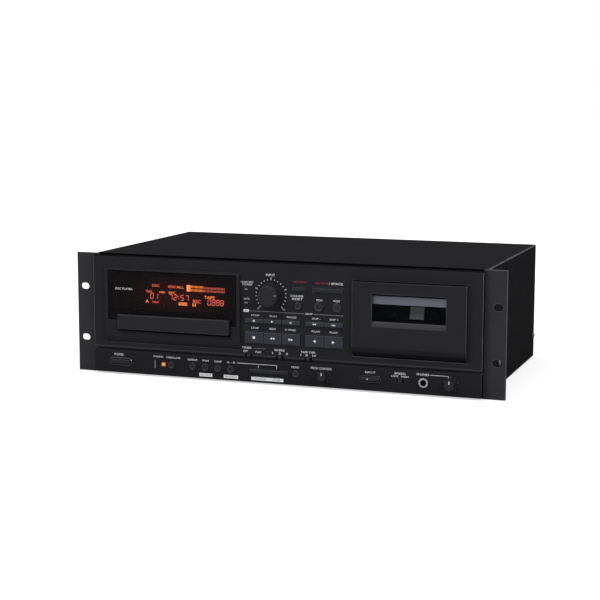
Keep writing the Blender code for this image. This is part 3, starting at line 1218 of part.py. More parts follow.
def cassette_holder():
    """Pressed holder behind the pane: two channels, two cross bands and two feet."""
    holder = box("cassette_holder", (DOOR_X - HOLDER_OUTER, HOLDER_FRONT, CASSETTE_BOTTOM
                                     - HOLDER_SHEET - CASSETTE_FIT),
                 (DOOR_X + HOLDER_OUTER, HOLDER_BACK + HOLDER_SHEET, CASSETTE_TOP - HOLDER_LIP / 2),
                 "plated_steel")
    floor = CASSETTE_BOTTOM - CASSETTE_FIT
    pocket = box("holder_pocket", (DOOR_X - HOLDER_INNER, HOLDER_FLANGE_BACK, floor),
                 (DOOR_X + HOLDER_INNER, HOLDER_BACK, DOOR_TOP))
    back = box("holder_back", (DOOR_X - HOLDER_INNER + HOLDER_LIP, HOLDER_FLANGE_BACK,
                               floor - OVERRUN),
               (DOOR_X + HOLDER_INNER - HOLDER_LIP, HOLDER_BACK + OVERRUN, DOOR_TOP))
    band_low = VIEW_TOP - DOOR_WALL - HOLDER_BAND_HEIGHT
    views = boxes("holder_views", [
        ((DOOR_X - HOLDER_INNER + HOLDER_LIP, HOLDER_FRONT - OVERRUN, floor + HOLDER_BAND_HEIGHT),
         (DOOR_X + HOLDER_INNER - HOLDER_LIP, HOLDER_FLANGE_BACK + OVERRUN, band_low)),
        ((DOOR_X - HOLDER_INNER + HOLDER_LIP, HOLDER_FRONT - OVERRUN,
          band_low + HOLDER_BAND_HEIGHT),
         (DOOR_X + HOLDER_INNER - HOLDER_LIP, HOLDER_FLANGE_BACK + OVERRUN, DOOR_TOP))])
    mouth = box("holder_foot_gap",
                (DOOR_X - HOLDER_INNER + 2 * HOLDER_LIP + HOLDER_SHEET, HOLDER_FRONT - OVERRUN,
                 floor - HOLDER_SHEET - OVERRUN),
                (DOOR_X + HOLDER_INNER - 2 * HOLDER_LIP - HOLDER_SHEET, HOLDER_BACK + OVERRUN,
                 floor + OVERRUN))
    cut(holder, pocket, back, views, mouth)


def tape_mechanism():
    """Transport frame: plate, cheeks and floor round the pocket, closed housing behind."""
    plate_back = TRANSPORT_BACK + TRANSPORT_SHEET
    low_x, high_x = DOOR_X - TRANSPORT_HALF, DOOR_X + TRANSPORT_HALF
    frame = box("tape_mechanism", (low_x, FACE_INNER + GAP, TRANSPORT_BOTTOM),
                (high_x, plate_back, TRANSPORT_TOP), "inner_plastic")
    pocket = box("transport_pocket",
                 (low_x + CHEEK, FACE_INNER - OVERRUN, TRANSPORT_BOTTOM + CHEEK),
                 (high_x - CHEEK, TRANSPORT_BACK, TRANSPORT_TOP - CHEEK))
    hinge_y, hinge_z = door_centre()
    bores = rod("hinge_bores", (low_x - OVERRUN, hinge_y, hinge_z),
                2 * TRANSPORT_HALF + 2 * OVERRUN, PIN_RADIUS + GAP, "X", sides=BUTTON_SIDES)
    cut(frame, pocket, bores)
    housing = box("transport_housing",
                  (DOOR_X - REEL_SPACING, plate_back - FUSE, TRANSPORT_BOTTOM + 2 * CHEEK),
                  (DOOR_X + REEL_SPACING, TRANSPORT_REAR, TRANSPORT_TOP - 2 * CHEEK),
                  edge=EDGE_RADIUS, segments=1)
    fuse(frame, housing)
    reel_depth = REEL_REACH
    reels = rods("reel_bores", [(x, TRANSPORT_BACK - OVERRUN, REEL_Z) for x in reel_places()],
                 reel_depth + OVERRUN, REEL_SHAFT_RADIUS + GAP, "Y", BUTTON_SIDES)
    capstans = rods("capstan_bores",
                    [(x, TRANSPORT_BACK - OVERRUN, capstan_z()) for x in capstan_places()],
                    reel_depth + OVERRUN, CAPSTAN_RADIUS + GAP, "Y", BUTTON_SIDES)
    cut(frame, reels, capstans)


def reel_places():
    """Middles of the two reel hubs."""
    return [DOOR_X + side * REEL_SPACING / 2 for side in (-1, 1)]


def capstan_places():
    """Middles of the two capstans."""
    return [DOOR_X + side * CAPSTAN_SPACING / 2 for side in (-1, 1)]


def capstan_z():
    """Height of the capstans, just inside a loaded cassette."""
    return CASSETTE_BOTTOM + CAPSTAN_RISE


def reel_hub(name, x):
    """Reel hub with three drive ribs, on a shaft in the transport plate."""
    back = TRANSPORT_BACK - GAP
    front = back - REEL_REACH
    slim = REEL_RADIUS / 2
    profile = [(0, -front), (slim / 2, -front), (slim, -front - slim / 2), (slim, -back + slim),
               (REEL_RADIUS, -back + slim / 2), (REEL_RADIUS, -back), (REEL_SHAFT_RADIUS, -back),
               (REEL_SHAFT_RADIUS, -back - REEL_REACH / 2), (0, -back - REEL_REACH / 2)]
    hub = turned(name, profile, (x, 0, REEL_Z), "inner_plastic", BUTTON_SIDES)
    for i in range(3):
        rib = box(f"{name}_rib_{i}", (-slim / 4, -slim / 2, -back + slim / 4),
                  (slim / 4, REEL_RADIUS - slim / 4, -front - slim))
        rib.matrix_local = (Matrix.Translation((x, 0, REEL_Z))
                            @ Matrix.Rotation(math.radians(90), 4, "X")
                            @ Matrix.Rotation(math.radians(120 * i), 4, "Z"))
        fuse(hub, rib)


def capstan(name, x):
    """Capstan shaft in the transport plate."""
    back = TRANSPORT_BACK + REEL_REACH / 2
    front = TRANSPORT_BACK - CAPSTAN_REACH
    collar = TRANSPORT_BACK - GAP
    profile = [(0, -front), (CAPSTAN_RADIUS, -front), (CAPSTAN_RADIUS, -collar + CAPSTAN_RADIUS),
               (2 * CAPSTAN_RADIUS, -collar + CAPSTAN_RADIUS), (2 * CAPSTAN_RADIUS, -collar),
               (CAPSTAN_RADIUS, -collar), (CAPSTAN_RADIUS, -back), (0, -back)]
    turned(name, profile, (x, 0, capstan_z()), "chrome", BUTTON_SIDES)


def head_bridge():
    """Sliding base with the head block and two pinch rollers."""
    half = BRIDGE_WIDTH / 2
    back = TRANSPORT_BACK - GAP
    front = HOLDER_BACK - CASSETTE_DEPTH
    thick = BRIDGE_THICKNESS
    bridge_front = front + BRIDGE_SETBACK
    bridge = box("head_bridge", (DOOR_X - half, bridge_front, BRIDGE_TOP - thick),
                 (DOOR_X + half, back, BRIDGE_TOP), "plated_steel")
    wall = box("bridge_wall", (DOOR_X - half, back - CHEEK, BRIDGE_TOP - thick),
               (DOOR_X + half, back, BRIDGE_TOP + HEAD_HEIGHT / 2))
    head = box("head_block", (DOOR_X - HEAD_WIDTH / 2, front + HEAD_SETBACK, BRIDGE_TOP - FUSE),
               (DOOR_X + HEAD_WIDTH / 2, front + ROLLER_LENGTH, BRIDGE_TOP + HEAD_HEIGHT),
               edge=STRIP_EDGE)
    fuse(bridge, wall, head)
    for side in (-1, 1):
        x = DOOR_X + side * CAPSTAN_SPACING / 2
        z = capstan_z() - CAPSTAN_RADIUS - GAP - HEAD_TRAVEL - ROLLER_RADIUS
        roller = rod(f"pinch_roller_{side}", (x, bridge_front, z), ROLLER_LENGTH, ROLLER_RADIUS,
                     "Y", sides=BUTTON_SIDES)
        fuse(bridge, roller)


def key(name, centre, width, height, proud, rise, inner):
    """Pressed key: chamfered cap, body through the wall and a flange behind it."""
    half_width, half_height = width / 2, height / 2
    front = -proud - rise
    back = inner + GAP
    rings = [rounded_ring(half_width - KEY_CHAMFER, half_height - KEY_CHAMFER, KEY_CHAMFER / 2,
                          front, centre, 1),
             rounded_ring(half_width, half_height, KEY_CHAMFER / 2, front + KEY_CHAMFER, centre, 1),
             rounded_ring(half_width, half_height, KEY_CHAMFER / 2, back, centre, 1),
             rounded_ring(half_width, half_height + KEY_FLANGE, KEY_CHAMFER / 2, back, centre, 1),
             rounded_ring(half_width, half_height + KEY_FLANGE, KEY_CHAMFER / 2,
                          back + KEY_FLANGE_DEPTH, centre, 1)]
    return loft(name, rings, "key_plastic")


def round_button(name, centre, size, proud):
    """Round button: turned cap with a flange behind the wall."""
    x, z = centre
    radius = size / 2
    front = proud + ROUND_PROUD
    back = proud - FASCIA_WALL - GAP
    profile = [(0, front), (radius - KEY_CHAMFER, front), (radius, front - KEY_CHAMFER),
               (radius, back), (radius + KEY_FLANGE, back),
               (radius + KEY_FLANGE, back - KEY_FLANGE_DEPTH), (0, back - KEY_FLANGE_DEPTH)]
    turned(name, profile, (x, 0, z), "knob_plastic")


def knob(name, centre, diameter, height, proud, ribs):
    """Control knob: skirt, ribbed grip and a shaft through the wall."""
    x, z = centre
    radius = diameter / 2
    rib = radius / 20
    front = -proud - height
    skirt = -proud - GAP - KNOB_SKIRT
    levels = ((-proud - GAP, radius, 0), (skirt, radius, 0), (skirt, radius * 0.93, rib),
              (front + 2 * rib, radius * 0.90, rib), (front, radius * 0.82, 0))
    rings = []
    for y, reach, depth in levels:
        ring = []
        for i in range(2 * ribs):
            angle = math.pi * i / ribs
            size = reach - (depth if i % 2 else 0)
            ring.append((x + size * math.cos(angle), y, z + size * math.sin(angle)))
        rings.append(ring)
    made = loft(name, rings, "knob_plastic")
    shaft = rod(f"{name}_shaft", (x, -proud - GAP - FUSE, z),
                proud + BOARD_FRONT, KNOB_SHAFT_RADIUS, "Y", sides=BUTTON_SIDES)
    fuse(made, shaft)
    set_pivot(made, (x, 0, z))


def switch(name, place):
    """Slide switch lever with its carrier behind the wall."""
    x, z, proud, inner = place
    half_width, half_height = SWITCH_WIDTH / 2, SWITCH_HEIGHT / 2
    centre = (x, z)
    front = -proud - SWITCH_PROUD
    back = FASCIA_BACK if inner > FACE_INNER else inner + GAP
    reach = SWITCH_TRAVEL + SWITCH_WIDTH
    rings = [rounded_ring(half_width - KEY_CHAMFER, half_height - KEY_CHAMFER, KEY_CHAMFER / 2,
                          front, centre, 1),
             rounded_ring(half_width, half_height, KEY_CHAMFER / 2, front + KEY_CHAMFER, centre, 1),
             rounded_ring(half_width, half_height, KEY_CHAMFER / 2, back, centre, 1)]
    if inner <= FACE_INNER:
        rings += [rounded_ring(half_width + reach, half_height + KEY_FLANGE, KEY_CHAMFER / 2, y,
                               centre, 1) for y in (back, back + KEY_FLANGE_DEPTH)]
    loft(name, rings, "key_plastic")


def circuit_board():
    """Main board on standoffs, with capacitors and a heat sink."""
    x = MAIN_BOARD_SHARE * COVER_WIDTH
    half = MAIN_BOARD_WIDTH / 2
    back = PAN_REAR - PHONO_BLOCK_DEPTH - SLIDE
    front = back - MAIN_BOARD_DEPTH
    low = PAN_SHEET + MAIN_BOARD_LIFT
    board = box("circuit_board", (x - half, front, low), (x + half, back, low + BOARD),
                "board_green")
    inset = 2 * STANDOFF
    posts = [(px, py, PAN_SHEET + GAP) for px in (x - half + inset, x + half - inset)
             for py in (front + inset, back - inset)]
    for i, post in enumerate(posts):
        fuse(board, rod(f"standoff_{i}", post, low - PAN_SHEET, STANDOFF, "Z", sides=BUTTON_SIDES))
    sink = box("heat_sink", (x - half / 2, front + inset, low + BOARD - FUSE),
               (x + half / 3, front + 2 * inset, low + TRANSFORMER_HEIGHT / 2))
    fuse(board, sink)
    for i in range(4):
        place = (x - half / 2 + i * half / 3, front + MAIN_BOARD_DEPTH / 2, low + BOARD - FUSE)
        fuse(board, rod(f"capacitor_{i}", place, TRANSFORMER_HEIGHT / 3, 2 * STANDOFF, "Z"))


def power_transformer():
    """Laminated core with its winding and two mounting feet."""
    x = TRANSFORMER_X
    back = PAN_REAR - INLET_BODY_DEPTH - SLIDE
    middle = back - TRANSFORMER_DEPTH / 2
    half_width, half_depth = TRANSFORMER_WIDTH / 2, TRANSFORMER_DEPTH / 2
    low = PAN_SHEET + GAP
    core = box("power_transformer",
               (x - half_width, middle - half_depth / 2, low),
               (x + half_width, middle + half_depth / 2, low + TRANSFORMER_HEIGHT),
               "plated_steel")
    winding = box("winding", (x - half_width * 0.62, middle - half_depth, low + half_depth / 3),
                  (x + half_width * 0.62, middle + half_depth,
                   low + TRANSFORMER_HEIGHT - half_depth / 3), edge=EDGE_RADIUS)
    feet = box("transformer_feet", (x - half_width - LEG_SIZE, middle - half_depth / 2, low),
               (x + half_width + LEG_SIZE, middle + half_depth / 2, low + TRANSFORMER_FOOT))
    fuse(core, winding, feet)


def phono_places():
    """Middles of the phono sockets, two rows."""
    x = PHONO_SHARE * COVER_WIDTH
    z = PHONO_Z_SHARE * RACK_HEIGHT
    return [(x + (i - (PHONO_COLUMNS - 1) / 2) * JACK_COLUMN_PITCH, z + side * JACK_ROW_PITCH / 2)
            for i in range(PHONO_COLUMNS) for side in (-1, 1)]


def rear_jacks():
    """Block behind the rear panel with the phono sockets that reach through it."""
    places = phono_places()
    xs = [x for x, _ in places]
    zs = [z for _, z in places]
    margin = 2 * PHONO_RADIUS
    start = PAN_REAR - PHONO_BLOCK_DEPTH
    block = box("rear_jacks", (min(xs) - margin, start, min(zs) - margin),
                (max(xs) + margin, PAN_REAR, max(zs) + margin), "inner_plastic")
    barrels = rods("phono_barrels", [(x, PAN_REAR - FUSE, z) for x, z in places],
                   REAR_REACH - PAN_REAR + FUSE, PHONO_RADIUS, "Y")
    bores = rods("phono_bores", [(x, CASE_DEPTH, z) for x, z in places],
                 PHONO_REACH + OVERRUN, PHONO_BORE, "Y", BUTTON_SIDES)
    fuse(block, barrels)
    cut(block, bores)


def inlet_place():
    """Middle of the mains inlet."""
    return INLET_SHARE * COVER_WIDTH, INLET_Z_SHARE * RACK_HEIGHT


def mains_inlet():
    """Three pin inlet: flange outside the panel, body inside, cavity with three blades."""
    x, z = inlet_place()
    flange_front = CASE_DEPTH + GAP
    inlet = box("mains_inlet", (x - INLET_WIDTH / 2, flange_front, z - INLET_HEIGHT / 2),
                (x + INLET_WIDTH / 2, flange_front + INLET_FLANGE, z + INLET_HEIGHT / 2),
                "inner_plastic", edge=KEY_CHAMFER, segments=1)
    body = box("inlet_body",
               (x - INLET_BODY_WIDTH / 2, flange_front + FUSE - INLET_BODY_DEPTH,
                z - INLET_BODY_HEIGHT / 2),
               (x + INLET_BODY_WIDTH / 2, flange_front + FUSE, z + INLET_BODY_HEIGHT / 2))
    half_width, half_height = INLET_CAVITY_WIDTH / 2, INLET_CAVITY_HEIGHT / 2
    slant = half_height / 2
    floor_y = flange_front + INLET_FLANGE - INLET_CAVITY_DEPTH
    cavity = prism("inlet_cavity",
                   [(x - half_width, z - half_height), (x + half_width, z - half_height),
                    (x + half_width, z + half_height - slant),
                    (x + half_width - slant, z + half_height),
                    (x - half_width + slant, z + half_height),
                    (x - half_width, z + half_height - slant)],
                   floor_y, flange_front + INLET_FLANGE + OVERRUN, "Y")
    fuse(inlet, body)
    cut(inlet, cavity)
    drop = BLADE_DROP / 2
    blades = [(x - BLADE_SPACING / 2, z - drop), (x + BLADE_SPACING / 2, z - drop), (x, z + drop)]
    fuse(inlet, boxes("inlet_blades", [
        ((bx - BLADE_WIDTH / 2, floor_y - FUSE, bz - BLADE_HEIGHT / 2),
         (bx + BLADE_WIDTH / 2, floor_y + BLADE_LENGTH, bz + BLADE_HEIGHT / 2))
        for bx, bz in blades]))


def controls():
    """Every key, button, knob and switch on the front."""
    for row, names, z, height in KEY_ROWS:
        for name, x in zip(names, key_columns()):
            key(f"{row}_{name}_key", (x, z), KEY_WIDTH, height, FACE_PROUD, KEY_PROUD, FACE_INNER)
    for name, centre, width, height, proud in BAR_BUTTONS:
        inner = -proud + FASCIA_WALL
        if name == "mode_rocker":
            swing = width / 2 * math.sin(ROCKER_TILT)
            made = key(name, centre, width, height, proud, POWER_PROUD, inner + swing)
            set_pivot(made, (centre[0], inner, centre[1]))
        else:
            key(name, centre, width, height, proud, POWER_PROUD, inner)
    for name, centre, size, proud in ROUND_BUTTONS:
        round_button(name, centre, size, proud)
    for name, centre, diameter, height, proud, ribs in KNOBS:
        knob(name, centre, diameter, height, proud, ribs)
    for name, place in zip((*GROOVE_SWITCHES, "strip_switch"), switch_places()):
        switch(name, place)


def moving_origins():
    """Origins of the door's pieces and the pinion on their joint axes."""
    hinge = (DOOR_X, *door_centre())
    for name in ("cassette_door", "door_window", "cassette_holder"):
        set_pivot(bpy.data.objects[name], hinge)
    set_pivot(bpy.data.objects["loader_pinion"], (PINION_X, PINION_Y, GEAR_TOP))


def smooth_round_pieces():
    """Smooth shading with sharp edges kept, on every part."""
    for piece in PARTS.objects:
        if piece.type == "MESH":
            piece.data.shade_smooth()
            piece.data.set_sharp_from_angle(angle=math.radians(35))


def build():
    """Make the whole deck."""
    chassis_pan()
    rear_panel()
    top_cover()
    rack_ear("rack_ear_left", -1)
    rack_ear("rack_ear_right", 1)
    front_fascia()
    display_bezel()
    display_window()
    front_board()
    status_lamp()
    headphone_jack()
    tray_front()
    cd_tray()
    loader_pinion()
    loader_frame()
    disc_turntable()
    cassette_door()
    door_window()
    cassette_holder()
    tape_mechanism()
    for side, x in zip(("left", "right"), reel_places()):
        reel_hub(f"reel_hub_{side}", x)
    for side, x in zip(("left", "right"), capstan_places()):
        capstan(f"capstan_{side}", x)
    head_bridge()
    controls()
    circuit_board()
    power_transformer()
    rear_jacks()
    mains_inlet()
    moving_origins()
    smooth_round_pieces()


build()
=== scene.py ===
"""Looks of the rack CD player with cassette deck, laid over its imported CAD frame.

Places come from the boxes of the CAD nodes. Lengths are millimetres unless a note says metres,
and a piece is scaled to metres when its mesh is made.
"""

from math import cos, pi, radians, sin

import bmesh
import bpy
from mathutils import Matrix, Vector


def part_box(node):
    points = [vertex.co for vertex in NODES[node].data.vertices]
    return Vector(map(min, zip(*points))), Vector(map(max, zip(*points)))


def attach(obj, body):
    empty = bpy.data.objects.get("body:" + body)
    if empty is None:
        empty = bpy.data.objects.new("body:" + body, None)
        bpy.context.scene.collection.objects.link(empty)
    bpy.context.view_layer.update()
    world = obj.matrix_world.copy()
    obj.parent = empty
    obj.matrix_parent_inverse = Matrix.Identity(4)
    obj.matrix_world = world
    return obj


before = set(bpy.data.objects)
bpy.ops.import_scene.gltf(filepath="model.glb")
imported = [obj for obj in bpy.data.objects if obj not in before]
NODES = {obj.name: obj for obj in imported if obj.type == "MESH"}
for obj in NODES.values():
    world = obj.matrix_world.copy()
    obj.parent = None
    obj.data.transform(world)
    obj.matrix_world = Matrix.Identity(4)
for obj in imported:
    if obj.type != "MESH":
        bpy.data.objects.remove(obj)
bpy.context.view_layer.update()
SCENE = bpy.context.scene

MM = 0.001
PRINT = 0.04                    # thickness of printed ink
SKIN = 0.02                     # gap between a print and what it is on
SEAT = 0.1                      # how deep a small part sits in its neighbour
STRIP_HEIGHT = 25               # from the fascia's foot to the ledge over the lower strip
FACE_DEPTH = 2                  # the face is this far behind the lower strip
LINE = 0.4                      # printed lines of the strip and the timer
FLAT = 0.9                      # least part of a normal along an axis for a face square to it
SOFT_ANGLE = radians(40)        # edges sharper than this are softened
SHARP_ANGLE = radians(35)       # edges of smooth pieces sharper than this stay sharp


def box(node):
    """Lowest and highest corner of a CAD node."""
    near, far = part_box(node)
    return near / MM, far / MM


def low(node):
    """Lowest corner of a CAD node."""
    return box(node)[0]


def high(node):
    """Highest corner of a CAD node."""
    return box(node)[1]


def middle(node):
    """Centre of a CAD node's box."""
    near, far = box(node)
    return (near + far) / 2


def nose(node):
    """Centre of the front of a CAD node's box."""
    spot = middle(node)
    spot.y = low(node).y
    return spot


def half_size(node):
    """Half the width, depth and height of a CAD node."""
    near, far = box(node)
    return (far - near) / 2


# Planes of the front
EARS = low("rack_ear_left").y
STRIP = low("front_fascia").y
FACE = STRIP + FACE_DEPTH


# Materials
def feed(node, inputs):
    """Link the inputs that are given sockets, and set the others."""
    for key, value in inputs.items():
        if isinstance(value, bpy.types.NodeSocket):
            node.id_data.links.new(value, node.inputs[key])
        else:
            node.inputs[key].default_value = value


def shader_node(tree, kind, inputs=None, **values):
    """Add a shader node with its plain properties and inputs."""
    made = tree.nodes.new("ShaderNode" + kind)
    for key, value in values.items():
        setattr(made, key, value)
    feed(made, inputs or {})
    return made


def noise(tree, scale, place, detail=2):
    """Output of a noise texture."""
    return shader_node(tree, "TexNoise", {"Scale": scale, "Detail": detail,
                                          "Vector": place}).outputs["Fac"]


def maths(tree, operation, *terms):
    """Result of a Math node."""
    return shader_node(tree, "Math", dict(enumerate(terms)), operation=operation).outputs[0]


def vector_maths(tree, operation, output, *terms):
    """Result of a Vector Math node."""
    return shader_node(tree, "VectorMath", dict(enumerate(terms)),
                       operation=operation).outputs[output]


def in_range(tree, value, **limits):
    """Result of a Map Range node, with limits such as from_min and to_max."""
    inputs = {key.replace("_", " ").title(): limit for key, limit in limits.items()}
    return shader_node(tree, "MapRange", {"Value": value, **inputs}).outputs["Result"]


def ramp(tree, share, *stops):
    """Colour of a ramp with two stops, each a position and a colour."""
    made = shader_node(tree, "ValToRGB", {"Fac": share})
    for stop, (position, colour) in zip(made.color_ramp.elements, stops):
        stop.position = position
        stop.color = (*colour, 1)
    return made.outputs["Color"]


def edge_wear_and_highlight(tree, place, patches, rub, fold):
    """How much lighter edge, part wear and part painted highlight, a point takes: by how near an
    edge is, by patches and by the highlight zone.
    """
    edge = shader_node(tree, "Bevel", {"Radius": rub * MM}, samples=4)
    plain = shader_node(tree, "NewGeometry")
    turn = vector_maths(tree, "DOT_PRODUCT", "Value", edge.outputs["Normal"],
                        plain.outputs["Normal"])
    amount = maths(tree, "MULTIPLY", in_range(tree, turn, from_min=0.99, from_max=0.92), patches)
    if fold:
        out_limit, back_limit, elsewhere = fold
        parts = shader_node(tree, "SeparateXYZ", {"Vector": place}).outputs
        out = maths(tree, "GREATER_THAN", maths(tree, "ABSOLUTE", parts["X"]), out_limit * MM)
        behind = maths(tree, "GREATER_THAN", parts["Y"], back_limit * MM)
        share = in_range(tree, maths(tree, "MULTIPLY", out, behind), to_min=elsewhere)
        amount = maths(tree, "MULTIPLY", share, amount)
    return amount


def surface(name, colour, rough, metal=0, grain=900, depth=0.01, mottle=0.1, patch=60,
            stretch=(1, 1, 1), worn=None, rub=1, fold=None, swing=0.06, coat=0, level=0.5,
            alpha=1):
    """A procedural material: colour drift, uneven gloss, fine grain and lighter edges, part wear
    and part painted highlight.

    The lighter edge reaches rub in from an edge, and a highlight zone limits where it is full.
    """
    material = bpy.data.materials.new(name)
    material.use_nodes = True
    tree = material.node_tree
    place = shader_node(tree, "TexCoord").outputs["Object"]
    spread = shader_node(tree, "Mapping", {"Scale": stretch, "Vector": place})
    broad = noise(tree, patch, place, 4)
    fine = noise(tree, grain, spread.outputs["Vector"])
    blend = shader_node(tree, "Mix", {"Factor": 0.35, "A": broad, "B": fine},
                        data_type="FLOAT").outputs["Result"]
    tint = ramp(tree, blend, *[(position, [c * (1 + share * mottle) for c in colour])
                               for position, share in ((0.3, -1), (0.7, 1))])
    if worn:
        wear_and_highlight_share = edge_wear_and_highlight(tree, place, broad, rub, fold)
        tint = shader_node(tree, "Mix", {"Factor": wear_and_highlight_share, "A": tint, "B": (*worn, 1)},
                           data_type="RGBA").outputs["Result"]
    gloss = in_range(tree, blend, to_min=max(rough - swing, 0.02), to_max=rough + swing)
    shader = tree.nodes["Principled BSDF"]
    feed(shader, {"Base Color": tint, "Roughness": gloss, "Metallic": metal,
                  "Specular IOR Level": level, "Coat Weight": coat, "Alpha": alpha})
    if depth:
        bump = shader_node(tree, "Bump", {"Distance": depth * MM, "Strength": 0.6,
                                          "Height": fine})
        feed(shader, {"Normal": bump.outputs["Normal"]})
    return material


def dark(name, grey, green, blue, rough, level, grain=2300, depth=0.03, mottle=0.06, **values):
    """A near-black plastic or paint. Green and blue are its shares of the grey."""
    return surface(name, (grey, grey * green, grey * blue), rough, level=level, grain=grain,
                   depth=depth, mottle=mottle, **values)


def flat_ink(name, colour, mottle=0.08, level=0.2):
    """Printed ink."""
    return surface(name, colour, 0.55, grain=2600, depth=0, mottle=mottle, patch=500, level=level)


def lit(name, middle_colour, rim_colour, strength, spread=None):
    """A glowing material. With spread its light falls off from the middle of the box."""
    material = surface(name, (0.02, 0.008, 0.006), 0.35, depth=0, level=0.2)
    tree = material.node_tree
    place = shader_node(tree, "TexCoord").outputs
    if spread:
        centre, scale = spread
        away = vector_maths(tree, "SUBTRACT", "Vector", place["Generated"], centre)
        share = vector_maths(tree, "LENGTH", "Value",
                             vector_maths(tree, "MULTIPLY", "Vector", away, scale))
        start, end = 0.1, 1.0
    else:
        share = noise(tree, 500, place["Object"])
        start, end = 0.25, 0.75
    glow = ramp(tree, share, (start, middle_colour), (end, rim_colour))
    feed(tree.nodes["Principled BSDF"], {"Emission Color": glow, "Emission Strength": strength})
    return material


# Where edges take the full painted highlight and wear: out from the middle, behind this depth, and
# the share elsewhere
COVER_HIGHLIGHT_ZONE = (high("top_cover").x - 4, low("top_cover").y + 3, 0)
FASCIA_HIGHLIGHT_ZONE = (high("front_fascia").x - 3, STRIP - 1, 0.4)

